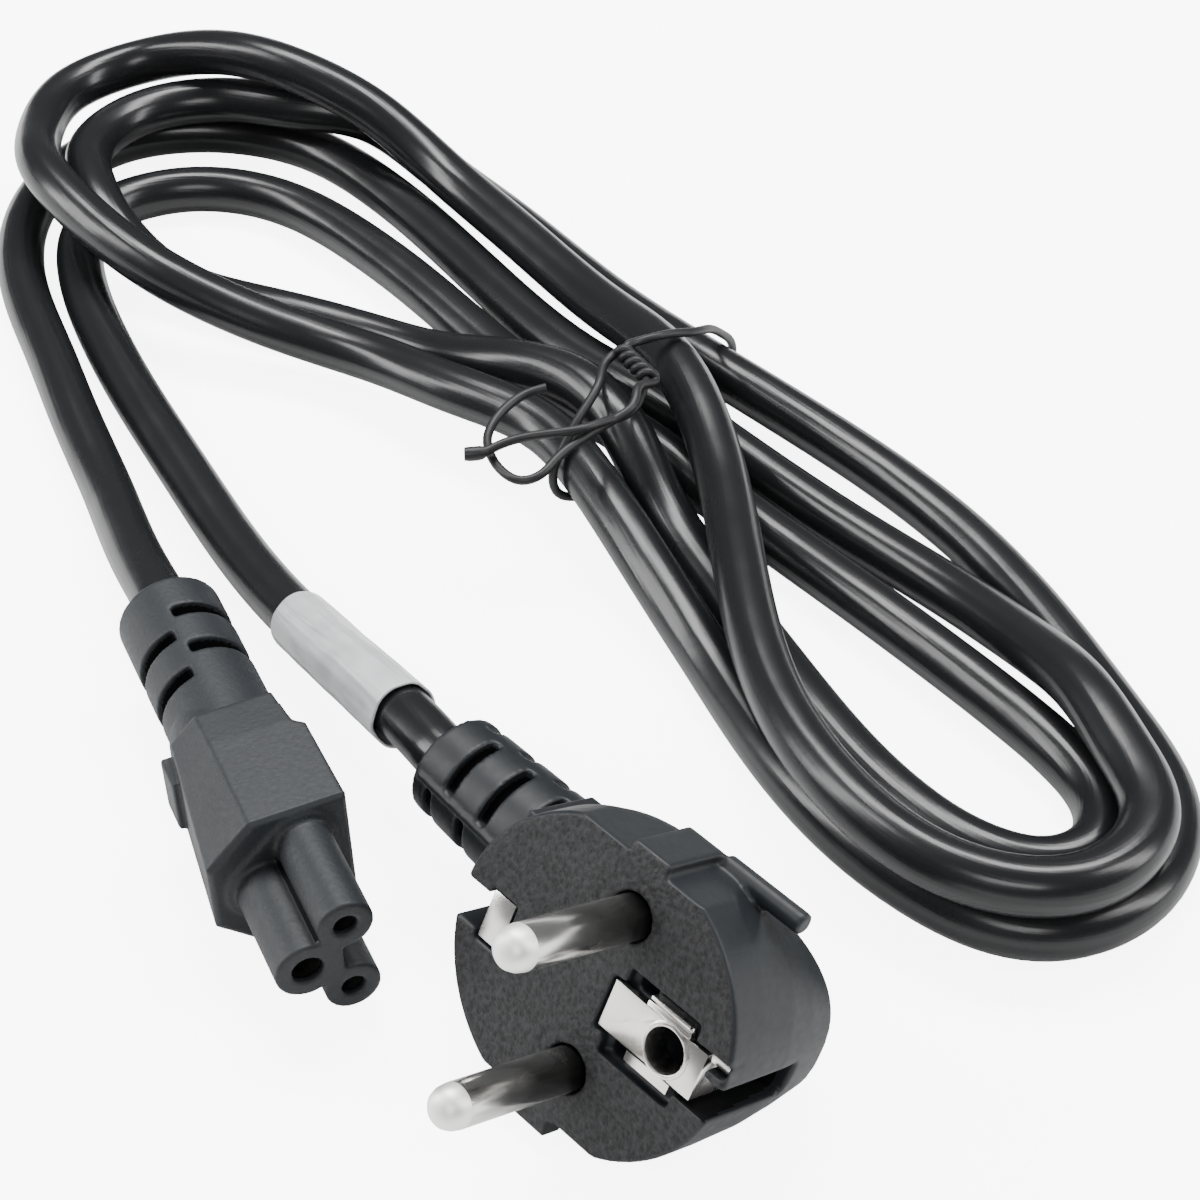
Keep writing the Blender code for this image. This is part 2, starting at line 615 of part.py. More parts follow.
def build_plug(frame, plastic, metal):
    def face_ring(z, inset):
        return plug_ring(
            z, front=FACE_FRONT - inset, back=-FACE_BACK + inset, width=FACE_WIDTH - 2 * inset, power=2.0
        )

    bm = bmesh.new()
    add_loft(
        bm,
        [
            plug_ring(
                -BACK_DEPTH,
                front=BACK_FRONT_END - 2 * BACK_ROUND,
                back=-LOFT_BACK + 2 * BACK_ROUND,
                width=BACK_WIDTH - 3 * BACK_ROUND,
            ),
            plug_ring(-BACK_DEPTH + BACK_ROUND, front=BACK_FRONT_END, back=-LOFT_BACK + 1 * MM, width=BACK_WIDTH),
            plug_ring(-GRIP_DEPTH, front=GRIP_FRONT_END, back=-LOFT_BACK, width=GRIP_WIDTH),
            plug_ring(-WAIST_DEPTH, front=WAIST_FRONT_END, back=-LOFT_BACK, width=WAIST_WIDTH, power=2.2),
            face_ring(-FACE_DEPTH, 0.0),
            face_ring(-FACE_EDGE, 0.0),
            face_ring(0.0, FACE_EDGE * 0.6),
        ],
    )
    bmesh.ops.triangulate(bm, faces=[side for side in bm.faces if len(side.verts) == 4])
    body = mesh_object("plug_body", bm, frame, plastic)
    for side in (1, -1):
        low_y, high_y = sorted((side * FLAT_AT, side * FACE_WIDTH))
        cut(
            body,
            lambda bm, low_y=low_y, high_y=high_y: add_box(
                bm, (-FACE_WIDTH, low_y, -BACK_DEPTH), (FACE_WIDTH, high_y, 2 * MM)
            ),
        )
    join(
        body,
        lambda bm: add_box(
            bm,
            (-CABLE_END, -CABLE_END_WIDTH / 2, -PLUG_RELIEF_BACK - 1.1 * MM),
            (-CABLE_END / 2, CABLE_END_WIDTH / 2, -CABLE_END_TOP),
        ),
        lambda bm: add_cylinder(
            bm,
            plug_relief_axis(-6 * MM),
            plug_relief_axis(PLUG_RELIEF_LENGTH) - plug_relief_axis(0),
            PLUG_RELIEF_LENGTH + 6 * MM,
            PLUG_RELIEF_START_DIAMETER / 2,
            PLUG_RELIEF_END_DIAMETER / 2,
            sides=28,
        ),
        lambda bm: add_box(
            bm, (PAD_START, FLAT_AT / 2, -PAD_DEPTH), (PAD_START + PAD_WIDTH, PAD_HEIGHT, -0.2 * MM)
        ),
        lambda bm: add_box(
            bm,
            (LOWER_PAD_START, -LOWER_PAD_HEIGHT, -LOWER_PAD_DEPTH),
            (LOWER_PAD_START + PAD_WIDTH, -FLAT_AT / 2, -0.2 * MM),
        ),
        lambda bm: add_cylinder(
            bm, Vector((BAR_START, BAR_AT, -BAR_DEPTH)), Vector((1, 0, 0)), BAR_LENGTH, BAR_DIAMETER / 2, sides=16
        ),
    )
    half_plate = EARTH_PLATE_WIDTH / 2 + FIT_GAP
    cut(
        body,
        lambda bm: add_box(
            bm, (RECESS_START, -RECESS_WIDTH / 2, -RECESS_DEPTH), (RECESS_END, RECESS_WIDTH / 2, 2 * MM)
        ),
        lambda bm: add_box(
            bm,
            (EARTH_PLATE_START - FIT_GAP, -half_plate, -RECESS_DEPTH - 0.1 * MM),
            (SIDE_SLOT_START + 0.5 * MM, half_plate, 2 * MM),
        ),
        lambda bm: add_box(
            bm,
            (SIDE_SLOT_START, -half_plate - 0.1 * MM, -SIDE_SLOT_DEPTH),
            (FACE_FRONT + 4 * MM, half_plate + 0.1 * MM, 2 * MM),
        ),
        lambda bm: add_cylinder(
            bm,
            Vector((EARTH_HOLE_OFFSET, 0, 2 * MM)),
            Vector((0, 0, -1)),
            EARTH_HOLE_DEPTH + 2 * MM,
            EARTH_HOLE_DIAMETER / 2,
            sides=28,
        ),
        lambda bm: add_box(
            bm,
            (-CLIP_OUTER - FIT_GAP, -half_plate - CLIP_SIDE, -CLIP_DEPTH - FIT_GAP),
            (-CLIP_INNER + FIT_GAP, half_plate - CLIP_SIDE, 2 * MM),
        ),
        lambda bm: add_box(
            bm,
            (-FACE_BACK - 2 * MM, -CLIP_SIDE - NOTCH_WIDTH / 2, -NOTCH_DEPTH),
            (-CLIP_OUTER, -CLIP_SIDE + NOTCH_WIDTH / 2, 2 * MM),
        ),
    )
    for side in (1, -1):
        cut(
            body,
            lambda bm, side=side: add_cylinder(
                bm,
                Vector((0, side * PIN_SPACING / 2, 2 * MM)),
                Vector((0, 0, -1)),
                PIN_SEAT_DEPTH + FIT_GAP + 2 * MM,
                PIN_DIAMETER / 2 + FIT_GAP,
                sides=28,
            ),
        )

    def slots(bm):
        outer = PLUG_RELIEF_START_DIAMETER
        for k in range(2 * PLUG_SLOTS):
            reach = PLUG_RELIEF_LENGTH - PLUG_SLOT_START - k * PLUG_SLOT_PITCH / 2
            middle = plug_relief_axis(reach)
            for side in (1, -1):
                up = -side if k % 2 == 0 else side
                low_y, high_y = sorted((side * RELIEF_RIDGE, side * outer))
                low_z, high_z = sorted((up * RELIEF_RIDGE, up * outer))
                add_box(
                    bm,
                    (middle.x, low_y, middle.z + low_z),
                    (middle.x + RELIEF_SLOT_WIDTH, high_y, middle.z + high_z),
                )

    cut(body, slots)
    join(
        body,
        lambda bm: add_cylinder(
            bm,
            plug_relief_axis(-4 * MM),
            plug_relief_axis(PLUG_RELIEF_LENGTH) - plug_relief_axis(0),
            PLUG_RELIEF_LENGTH + 3 * MM,
            RELIEF_CORE_DIAMETER / 2,
            sides=20,
        ),
    )
    shade_smooth(body)

    for name, side in (("line", 1), ("neutral", -1)):
        radius = PIN_DIAMETER / 2
        bm = bmesh.new()
        rings = []
        for z, r in (
            (-PIN_SEAT_DEPTH, radius),
            (PIN_LENGTH - radius, radius),
            (PIN_LENGTH - radius * 0.5, radius * 0.87),
            (PIN_LENGTH - radius * 0.13, radius * 0.5),
            (PIN_LENGTH, radius * 0.16),
        ):
            rings.append(
                [
                    (r * math.cos(2 * PI * k / 28), side * PIN_SPACING / 2 + r * math.sin(2 * PI * k / 28), z)
                    for k in range(28)
                ]
            )
        add_loft(bm, rings)
        shade_smooth(mesh_object("plug_pin_" + name, bm, frame, metal))

    bm = bmesh.new()
    top = -RECESS_DEPTH + FIT_GAP + EARTH_PLATE_THICKNESS
    low = top - EARTH_PLATE_THICKNESS
    half = EARTH_PLATE_WIDTH / 2
    add_box(bm, (EARTH_PLATE_START, -half, low), (EARTH_PLATE_END, half, top))
    plate = mesh_object("plug_earth_plate", bm, frame, metal)
    join(
        plate,
        lambda bm: add_box(
            bm,
            (EARTH_PLATE_END - EARTH_PLATE_THICKNESS, -half, -EARTH_FOLD_DEPTH),
            (EARTH_PLATE_END, half, low + 0.2 * MM),
        ),
    )
    cut(
        plate,
        lambda bm: add_cylinder(
            bm,
            Vector((EARTH_HOLE_OFFSET, 0, 2 * MM)),
            Vector((0, 0, -1)),
            6 * MM,
            EARTH_HOLE_DIAMETER / 2,
            sides=28,
        ),
    )
    bm = bmesh.new()
    low_side, high_side = -half - CLIP_SIDE, half - CLIP_SIDE
    add_box(bm, (-CLIP_OUTER, low_side, top - CLIP_THICKNESS), (-CLIP_INNER, high_side, top))
    clip = mesh_object("plug_earth_clip", bm, frame, metal)
    join(
        clip,
        lambda bm: add_box(
            bm, (-CLIP_OUTER, low_side, -CLIP_DEPTH), (-CLIP_OUTER + CLIP_THICKNESS, high_side, top - 0.2 * MM)
        ),
    )


# Cord, from the connector's strain relief to the plug's
def cord_points(connector, plug):
    relief_back = BODY_LENGTH + SHOULDER_LENGTH + CONNECTOR_RELIEF_LENGTH + FIT_GAP
    start = connector @ Vector((-relief_back, -CONNECTOR_RELIEF_SIDE, 0))
    end = plug @ plug_relief_axis(PLUG_RELIEF_LENGTH + FIT_GAP)
    chosen = (
        LEAD_FROM_CONNECTOR
        + TURN_ONE_LEFT
        + TURN_ONE_RIGHT
        + TURN_TWO_LEFT
        + TURN_TWO_RIGHT
        + TURN_THREE_LEFT
        + TURN_THREE_RIGHT
        + LEAD_TO_PLUG
    )
    lead_in = connector @ Vector((-relief_back - LEAD_IN, -CONNECTOR_RELIEF_SIDE, 0))
    lead_out = plug @ plug_relief_axis(PLUG_RELIEF_LENGTH + FIT_GAP + LEAD_IN)
    inner = [tuple(lead_in)] + [tuple(Vector(point) * MM) for point in chosen] + [tuple(lead_out)]
    return tuple(start), inner, tuple(end)


def build_cord(frame, look, connector, plug):
    start, inner, end = cord_points(connector, plug)
    fine = smooth_route(inner)
    points = [start] + list(thinned(fine, CORD_BEND_SAG, 5 * MM, 30 * MM)) + [end]
    print("cord length", round(float(np.linalg.norm(np.diff(fine, axis=0), axis=1).sum()), 4), "points", len(points))
    tube("cord", points, CORD_DIAMETER, frame, look, CORD_SIDES_PER_QUARTER)


def build_sleeve(frame, look):
    near = Vector(LEAD_TO_PLUG[-1]) * MM
    far = Vector(LEAD_TO_PLUG[-4]) * MM
    way = (far - near).normalized()
    first = near + way * SLEEVE_START
    inner = CORD_DIAMETER / 2 + SLEEVE_PLAY
    bm = bmesh.new()
    add_cylinder(bm, first, way, SLEEVE_LENGTH, inner + SLEEVE_WALL, sides=24)
    sleeve = mesh_object("label_sleeve", bm, frame, look)
    cut(sleeve, lambda bm: add_cylinder(bm, first - way * MM, way, SLEEVE_LENGTH + 2 * MM, inner, sides=24))
    shade_smooth(sleeve)


def bent_wire(name, points, frame, look, closed=False):
    """A run of the tie's wire as a mesh, round at its bends."""
    if closed:
        fine = smooth_route(points[-3:] + points + points[:4])[36:-36]
        fine = fine[:-1:4]
    else:
        fine = smooth_route(points)[::4]
    curve = tube(name, [tuple(Vector(point) * MM) for point in fine], TIE_DIAMETER, frame, look, 1, closed=closed)
    bpy.context.view_layer.update()
    graph = bpy.context.evaluated_depsgraph_get()
    data = bpy.data.meshes.new_from_object(curve.evaluated_get(graph))
    bpy.data.objects.remove(curve, do_unlink=True)
    made = bpy.data.objects.new(name, data)
    parts.objects.link(made)
    made.parent = frame
    return made


def build_tie(frame, look):
    """One length of wire: a loop round all the strands, a twisted knot on top and two free ends."""
    tie = bent_wire("wire_tie", TIE_LOOP, frame, look, closed=True)
    middle = Vector(KNOT_MIDDLE) * MM
    half = Vector(KNOT_END) * MM - middle
    steps = (-1.0, -0.75, -0.3, 0.3, 0.75, 1.0)
    bm = bmesh.new()
    turn = Vector((0, 0, 1)).rotation_difference(half.normalized()).to_matrix()
    rings = []
    for step in steps:
        radius = KNOT_DIAMETER / 2 * (1 - 0.55 * step**4)
        rings.append(
            [
                middle + half * step + turn @ Vector((radius * math.cos(2 * PI * k / 12), radius * math.sin(2 * PI * k / 12), 0))
                for k in range(12)
            ]
        )
    add_loft(bm, rings)
    boolean(tie, helper(bm, frame), "UNION")
    for points in (TAIL_ONE, TAIL_TWO):
        end = bent_wire("wire_end", points, frame, look)
        boolean(tie, end, "UNION")
    shade_smooth(tie, 50)


clear_scene()
parts = new_collection("power_cord")
cutters = new_collection("power_cord_cutters")
black_cord = material("black_cord", (0.022, 0.024, 0.027), 0.3)
black_plastic = material("black_plastic", (0.03, 0.034, 0.04), 0.55)
nickel = material("nickel", (0.72, 0.71, 0.69), 0.22, 1.0)
frosted = material("frosted_sleeve", (0.55, 0.57, 0.6), 0.5)
tie_black = material("tie_black", (0.03, 0.03, 0.032), 0.6)

table = empty("power_cord_place", Matrix.Translation(-MIDDLE))
heading = Vector((math.cos(CONNECTOR_HEADING), math.sin(CONNECTOR_HEADING), 0))
aside = Vector((-heading.y, heading.x, 0))
upright = Vector((0, 0, 1)) * math.cos(CONNECTOR_ROLL) - aside * math.sin(CONNECTOR_ROLL)
connector_place = frame_of(heading, upright, CONNECTOR_FACE_AT)
plug_place = frame_of(PLUG_AWAY, PLUG_PINS_WAY, PLUG_FACE_AT)
connector_frame = empty("connector_place", connector_place, table)
plug_frame = empty("plug_place", plug_place, table)
bpy.context.view_layer.update()

build_connector(connector_frame, black_plastic, nickel)
build_plug(plug_frame, black_plastic, nickel)
build_cord(table, black_cord, connector_place, plug_place)
build_sleeve(table, frosted)
build_tie(table, tie_black)
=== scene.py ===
import math

import bmesh
import bpy
import numpy as np
from mathutils import Matrix, Vector, noise


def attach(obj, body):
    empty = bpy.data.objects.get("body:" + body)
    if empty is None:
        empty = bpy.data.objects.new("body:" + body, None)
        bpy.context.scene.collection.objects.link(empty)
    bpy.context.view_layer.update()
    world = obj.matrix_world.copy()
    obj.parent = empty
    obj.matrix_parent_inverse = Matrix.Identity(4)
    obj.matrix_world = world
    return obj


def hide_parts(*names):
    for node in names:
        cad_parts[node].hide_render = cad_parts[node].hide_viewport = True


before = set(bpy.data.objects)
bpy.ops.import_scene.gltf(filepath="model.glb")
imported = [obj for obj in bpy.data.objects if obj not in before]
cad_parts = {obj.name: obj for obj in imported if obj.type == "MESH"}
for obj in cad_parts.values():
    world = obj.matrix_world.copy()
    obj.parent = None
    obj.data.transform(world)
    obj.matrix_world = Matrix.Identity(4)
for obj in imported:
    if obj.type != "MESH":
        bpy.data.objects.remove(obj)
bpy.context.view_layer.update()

# Camera
# It stands 346 mm from the point of the table in the middle of the picture and 41 degrees above it.
# Its lens came from the plug's and the connector's known sizes.
MM = 0.001
TABLE_MIDDLE = Vector((17.149, 54.147, 0.038)) * MM
CAMERA_AWAY = 345.7 * MM
CAMERA_RISE = math.radians(41)

camera_data = bpy.data.cameras.new("camera")
camera_data.lens = 81.63
camera_data.sensor_width = 36
camera_data.clip_start = 0.02
camera = bpy.data.objects.new("camera", camera_data)
camera.location = TABLE_MIDDLE + CAMERA_AWAY * Vector((0, -math.cos(CAMERA_RISE), math.sin(CAMERA_RISE)))
camera.rotation_euler = (math.pi / 2 - CAMERA_RISE, 0, 0)
bpy.context.scene.collection.objects.link(camera)
bpy.context.scene.camera = camera


# Cord
# A round three-core cord in a glossy black plastic sheath, pressed a little out of round by its cores.
# It runs from the connector through the three turns of the hank to the plug, and was wound by hand.
CORD_DIAMETER = 6.8 * MM
LEAD_FROM_CONNECTOR = [
    (-58.5, 1, 6.8), (-65, 19, 3.5), (-71, 33.5, 3.5), (-77, 49, 3.5), (-83, 65, 3.5),
]
TURN_ONE_LEFT = [
    (-85.3, 79, 3.5), (-83, 93, 3.5), (-74, 104.5, 3.5), (-60, 107.5, 3.5), (-46, 103, 3.5),
    (-35, 93, 3.5), (-15.6, 65.2, 3.5), (0.4, 42.6, 4.8),
]
TURN_ONE_RIGHT = [
    (8, 34.8, 5.5), (17, 26, 4.4), (32, 10, 3.5), (44.5, -4.5, 4.6), (52, -17.5, 7.8),
    (56, -27, 10.3), (59.5, -38, 10.7), (61, -49, 10.7), (53, -58.5, 10.7), (41, -58, 10.7),
    (28, -46, 10.7), (20, -27, 10.7), (17, -4, 11), (15.5, 12, 11),
]
TURN_TWO_LEFT = [
    (10, 33, 12.7), (1, 50, 9.8), (-13, 72, 8.7), (-24, 86.5, 10), (-34, 94.5, 14.8),
    (-45, 99.5, 18.5), (-58, 106.5, 18), (-71, 109.5, 14.5), (-80.8, 102.5, 13.6), (-83.3, 90, 13.8),
    (-80.3, 77, 15.4), (-73, 67, 14), (-60, 56, 11), (-44, 49.5, 7), (-30, 42.5, 6.5),
    (-19.4, 33.6, 8.2),
]
TURN_TWO_RIGHT = [
    (-8.3, 25.2, 8.8), (-1, 13.8, 8.4), (6.9, -2.4, 5.9), (12.8, -14.2, 3.7), (21, -33, 3.5),
    (35, -52.5, 3.5), (48, -59.3, 3.5), (59.5, -55, 3.5), (65.5, -43, 3.5), (62, -26, 3.5),
    (47, 8, 3.5), (27, 32, 4.4),
]
TURN_THREE_LEFT = [
    (14, 44.5, 5.4), (1, 61.5, 4), (-14, 83, 3.5), (-26, 96.5, 5), (-35, 100, 9.9),
    (-46, 101.5, 11.3), (-58, 105, 10.5), (-70, 102, 10), (-76, 93, 10), (-74.6, 81, 10.7),
    (-70.8, 73, 9.2), (-63, 66.5, 4.5), (-49, 59.5, 3.5), (-34.6, 53.5, 3.5), (-23.8, 47.3, 4.4),
    (-13.7, 38.8, 9.1),
]
TURN_THREE_RIGHT = [
    (-3.5, 31, 11.8), (2.6, 22.6, 11), (8.2, 11.6, 5.4), (14, 0.2, 3.5), (24, -21, 3.5), (36, -41, 3.5),
    (44.5, -48.2, 3.5), (50.5, -49.6, 3.5), (55.8, -46.8, 3.5), (57.6, -40.8, 3.5), (54.7, -32.5, 3.5),
    (48.5, -23.5, 3.5), (34, -5.5, 3.5), (16, 15.5, 3.7),
]
LEAD_TO_PLUG = [
    (3.2, 28.2, 5.5), (-10.5, 43.8, 3.5), (-21.5, 58.5, 3.5), (-37, 78, 3.5), (-50, 88.5, 3.5),
    (-64, 90.5, 3.5), (-75, 83, 3.5), (-75.2, 68, 3.5), (-70.5, 54, 3.5), (-63, 37.5, 3.5),
    (-55, 22, 3.5), (-46.3, 5.3, 4), (-37.5, -9.9, 6.1), (-32.17, -18.23, 8), (-26.83, -26.57, 9.9),
    (-21.5, -34.9, 11.8),
]


def plug_or_connector_place(x_way, z_way, at):
    """The place of a moulding on the table, from where its X and its Z point."""
    z = z_way.normalized()
    x = (x_way - z * x_way.dot(z)).normalized()
    turn = Matrix((x, z.cross(x), z)).transposed().to_4x4()
    return Matrix.Translation(at * MM + TABLE_MIDDLE) @ turn


connector_heading = math.radians(-65.9)
heading = Vector((math.cos(connector_heading), math.sin(connector_heading), 0))
aside = Vector((-heading.y, heading.x, 0))
roll = math.radians(1.8)
connector_place = plug_or_connector_place(
    heading, Vector((0, 0, math.cos(roll))) - aside * math.sin(roll), Vector((-32.0, -56.0, 9.58))
)
plug_place = plug_or_connector_place(
    Vector((0.6891, -0.7231, -0.0444)), Vector((-0.637, -0.633, 0.440)), Vector((-0.4, -81.1, 18.15))
)
CONNECTOR_RELIEF_END = Vector((-46.2, -1.2, 0)) * MM
PLUG_RELIEF_END = Vector((-38.6, 0, -16.8)) * MM
PLUG_RELIEF_WAY = Vector((-18.8, 0, -1.5)).normalized()
SHEATH_GAP = 0.3
STRAIGHT_LEAD = 2.8
ROUTE_STEPS = 10
SHEATH_SIDES = 36
CORES = 3
CORE_RELIEF = 0.018
CORE_TWISTS = 3.0
DRAW_LINE_PACE = 6


def smooth_route(points, steps):
    """Reads closely spaced points from the natural cubic spline through the given ones."""
    p = np.array(points, dtype=float)
    chord = np.linalg.norm(np.diff(p, axis=0), axis=1)
    n = len(p)
    system = np.zeros((n, n))
    right = np.zeros((n, 3))
    system[0, 0] = system[-1, -1] = 1.0
    for i in range(1, n - 1):
        system[i, i - 1] = chord[i - 1]
        system[i, i] = 2 * (chord[i - 1] + chord[i])
        system[i, i + 1] = chord[i]
        right[i] = 6 * ((p[i + 1] - p[i]) / chord[i] - (p[i] - p[i - 1]) / chord[i - 1])
    bend = np.linalg.solve(system, right)
    found = []
    for i in range(n - 1):
        h = chord[i]
        for u in np.linspace(0, h, steps, endpoint=False):
            v = h - u
            found.append(
                bend[i] * v**3 / (6 * h)
                + bend[i + 1] * u**3 / (6 * h)
                + (p[i] / h - bend[i] * h / 6) * v
                + (p[i + 1] / h - bend[i + 1] * h / 6) * u
            )
    found.append(p[-1])
    return [Vector(point) for point in found]


def drawn_along(name, points, outline, turns=0.0, thickness=None):
    """Draws a closed outline along a path, as an extruder does, and returns it as an object of its own."""
    path = bpy.data.curves.new(name, "CURVE")
    path.dimensions = "3D"
    path.use_fill_caps = True
    line = path.splines.new("POLY")
    line.points.add(len(points) - 1)
    for k, (point, place) in enumerate(zip(line.points, points)):
        point.co = (*place, 1)
        point.tilt = 2 * math.pi * turns * k / (len(points) - 1)
        point.radius = thickness[k] if thickness else 1.0
    die = bpy.data.curves.new(name + "_die", "CURVE")
    die.dimensions = "2D"
    ring = die.splines.new("POLY")
    ring.points.add(len(outline) - 1)
    for point, place in zip(ring.points, outline):
        point.co = (*place, 0, 1)
    ring.use_cyclic_u = True
    die_object = bpy.data.objects.new(name + "_die", die)
    path.bevel_mode = "OBJECT"
    path.bevel_object = die_object
    path_object = bpy.data.objects.new(name, path)
    for made in (die_object, path_object):
        bpy.context.scene.collection.objects.link(made)
    bpy.context.view_layer.update()
    graph = bpy.context.evaluated_depsgraph_get()
    mesh = bpy.data.meshes.new_from_object(path_object.evaluated_get(graph))
    bpy.data.objects.remove(path_object, do_unlink=True)
    bpy.data.objects.remove(die_object, do_unlink=True)
    for face in mesh.polygons:
        face.use_smooth = len(face.vertices) == 4
    made = bpy.data.objects.new(name, mesh)
    bpy.context.scene.collection.objects.link(made)
    return made


def round_outline(radius, count, lobes=0, depth=0.0):
    """A circle for drawn_along to follow, with lobes where cores press from inside."""
    outline = []
    for k in range(count):
        angle = 2 * math.pi * k / count
        reach = radius * (1 + depth * math.cos(lobes * angle))
        outline.append((reach * math.cos(angle), reach * math.sin(angle)))
    return outline


def upright(item):
    """Turns the faces of a closed mesh outwards."""
    bm = bmesh.new()
    bm.from_mesh(item.data)
    bmesh.ops.recalc_face_normals(bm, faces=bm.faces[:])
    bm.to_mesh(item.data)
    bm.free()


def node(tree, kind, **settings):
    """A new shader node, with its sockets and options set by name."""
    made = tree.nodes.new(kind)
    for key, value in settings.items():
        if key in made.inputs:
            made.inputs[key].default_value = value
        else:
            setattr(made, key, value)
    return made


def new_material(name, **settings):
    """A new material with its node tree and its shader. An underscore stands for a space."""
    made = bpy.data.materials.new(name)
    made.use_nodes = True
    shader = made.node_tree.nodes["Principled BSDF"]
    for key, value in settings.items():
        shader.inputs[key.replace("_", " ")].default_value = value
    return made, made.node_tree, shader


route = (
    LEAD_FROM_CONNECTOR
    + TURN_ONE_LEFT
    + TURN_ONE_RIGHT
    + TURN_TWO_LEFT
    + TURN_TWO_RIGHT
    + TURN_THREE_LEFT
    + TURN_THREE_RIGHT
    + LEAD_TO_PLUG
)
cord_start = connector_place @ (CONNECTOR_RELIEF_END - Vector((SHEATH_GAP * MM, 0, 0)))
cord_end = plug_place @ (PLUG_RELIEF_END + PLUG_RELIEF_WAY * SHEATH_GAP * MM)
lead_in = connector_place @ (CONNECTOR_RELIEF_END - Vector((STRAIGHT_LEAD * MM, 0, 0)))
lead_out = plug_place @ (PLUG_RELIEF_END + PLUG_RELIEF_WAY * STRAIGHT_LEAD * MM)
cord_route = [lead_in] + [Vector(point) * MM + TABLE_MIDDLE for point in route] + [lead_out]
cord_path = [cord_start] + smooth_route(cord_route, ROUTE_STEPS) + [cord_end]
sheath_outline = round_outline(CORD_DIAMETER / 2, SHEATH_SIDES, CORES, CORE_RELIEF)
cord = drawn_along("cord_sheath", cord_path, sheath_outline, CORE_TWISTS)
upright(cord)
draw_lines = cord.data.attributes.new("draw_lines", "FLOAT_VECTOR", "POINT")
run = [0.0]
for a, b in zip(cord_path, cord_path[1:]):
    run.append(run[-1] + (b - a).length)
for vert in cord.data.vertices:
    ring = min(vert.index // SHEATH_SIDES, len(run) - 1)
    angle = 2 * math.pi * vert.index / SHEATH_SIDES
    draw_lines.data[vert.index].vector = (math.cos(angle), math.sin(angle), run[ring] * DRAW_LINE_PACE)
cord_material, tree, shader = new_material(
    "glossy_black_sheath", Base_Color=(0.0085, 0.009, 0.0098, 1), Specular_IOR_Level=0.34
)
where = node(tree, "ShaderNodeTexCoord")
wave = node(tree, "ShaderNodeTexNoise", Scale=55.0, Detail=3.0, Roughness=0.6)
tree.links.new(where.outputs["Object"], wave.inputs["Vector"])
rough = node(tree, "ShaderNodeMapRange")
rough.inputs["To Min"].default_value = 0.2
rough.inputs["To Max"].default_value = 0.32
tree.links.new(wave.outputs["Fac"], rough.inputs["Value"])
tree.links.new(rough.outputs["Result"], shader.inputs["Roughness"])
skin = node(tree, "ShaderNodeTexNoise", Scale=900.0, Detail=2.0)
tree.links.new(where.outputs["Object"], skin.inputs["Vector"])
swell = node(tree, "ShaderNodeTexNoise", Scale=120.0, Detail=1.0)
tree.links.new(where.outputs["Object"], swell.inputs["Vector"])
height = node(tree, "ShaderNodeMath", operation="MULTIPLY_ADD")
tree.links.new(skin.outputs["Fac"], height.inputs[0])
height.inputs[1].default_value = 0.06
tree.links.new(swell.outputs["Fac"], height.inputs[2])
lines = node(tree, "ShaderNodeAttribute", attribute_name="draw_lines")
drawn = node(tree, "ShaderNodeTexNoise", Scale=3.0, Detail=2.0, Roughness=0.5)
tree.links.new(lines.outputs["Vector"], drawn.inputs["Vector"])
relief = node(tree, "ShaderNodeMath", operation="MULTIPLY_ADD")
tree.links.new(drawn.outputs["Fac"], relief.inputs[0])
relief.inputs[1].default_value = 0.55
tree.links.new(height.outputs[0], relief.inputs[2])
bump = node(tree, "ShaderNodeBump", Strength=0.35, Distance=0.0004)
tree.links.new(relief.outputs[0], bump.inputs["Height"])
tree.links.new(bump.outputs["Normal"], shader.inputs["Normal"])
cord.data.materials.clear()
cord.data.materials.append(cord_material)
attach(cord, "root")
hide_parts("cord")


# Connector
# The cloverleaf connector is moulded round its contacts in one shot of grey-black plastic with a fine grain.
# Three tubes joined by a web form the nose, and slots cut the strain relief into staggered ribs.
def moulding_frame_box(bm, low, high):
    """A box between two corners in millimetres, in the moulding's own axes."""
    low, high = Vector(low) * MM, Vector(high) * MM
    place = Matrix.Translation((low + high) / 2) @ Matrix.Diagonal((*(high - low), 1))
    bmesh.ops.create_cube(bm, size=1, matrix=place)


def rod(bm, start, way, length, radius, end_radius=None, sides=64):
    """A round bar or cone in millimetres from a start point along a direction."""
    way = Vector(way).normalized()
    turn = Vector((0, 0, 1)).rotation_difference(way).to_matrix().to_4x4()
    place = Matrix.Translation((Vector(start) + way * length / 2) * MM) @ turn
    bmesh.ops.create_cone(
        bm,
        cap_ends=True,
        segments=sides,
        radius1=radius * MM,
        radius2=(radius if end_radius is None else end_radius) * MM,
        depth=length * MM,
        matrix=place,
    )


def stacked(bm, sections):
    """Bridges closed rings of points, given bottom to top in millimetres, and caps both ends."""
    loops = []
    for section in sections:
        verts = [bm.verts.new(Vector(point) * MM) for point in section]
        loops.append([bm.edges.new((a, b)) for a, b in zip(verts, verts[1:] + verts[:1])])
    for lower, upper in zip(loops, loops[1:]):
        bmesh.ops.bridge_loops(bm, edges=lower + upper)
    for end in (loops[0], loops[-1]):
        bmesh.ops.edgeloop_fill(bm, edges=end)
    bmesh.ops.recalc_face_normals(bm, faces=bm.faces[:])


def solid(shape):
    """A new object with the closed mesh that a shape function draws."""
    bm = bmesh.new()
    shape(bm)
    bmesh.ops.recalc_face_normals(bm, faces=bm.faces[:])
    mesh = bpy.data.meshes.new("helper")
    bm.to_mesh(mesh)
    bm.free()
    made = bpy.data.objects.new("helper", mesh)
    bpy.context.scene.collection.objects.link(made)
    return made


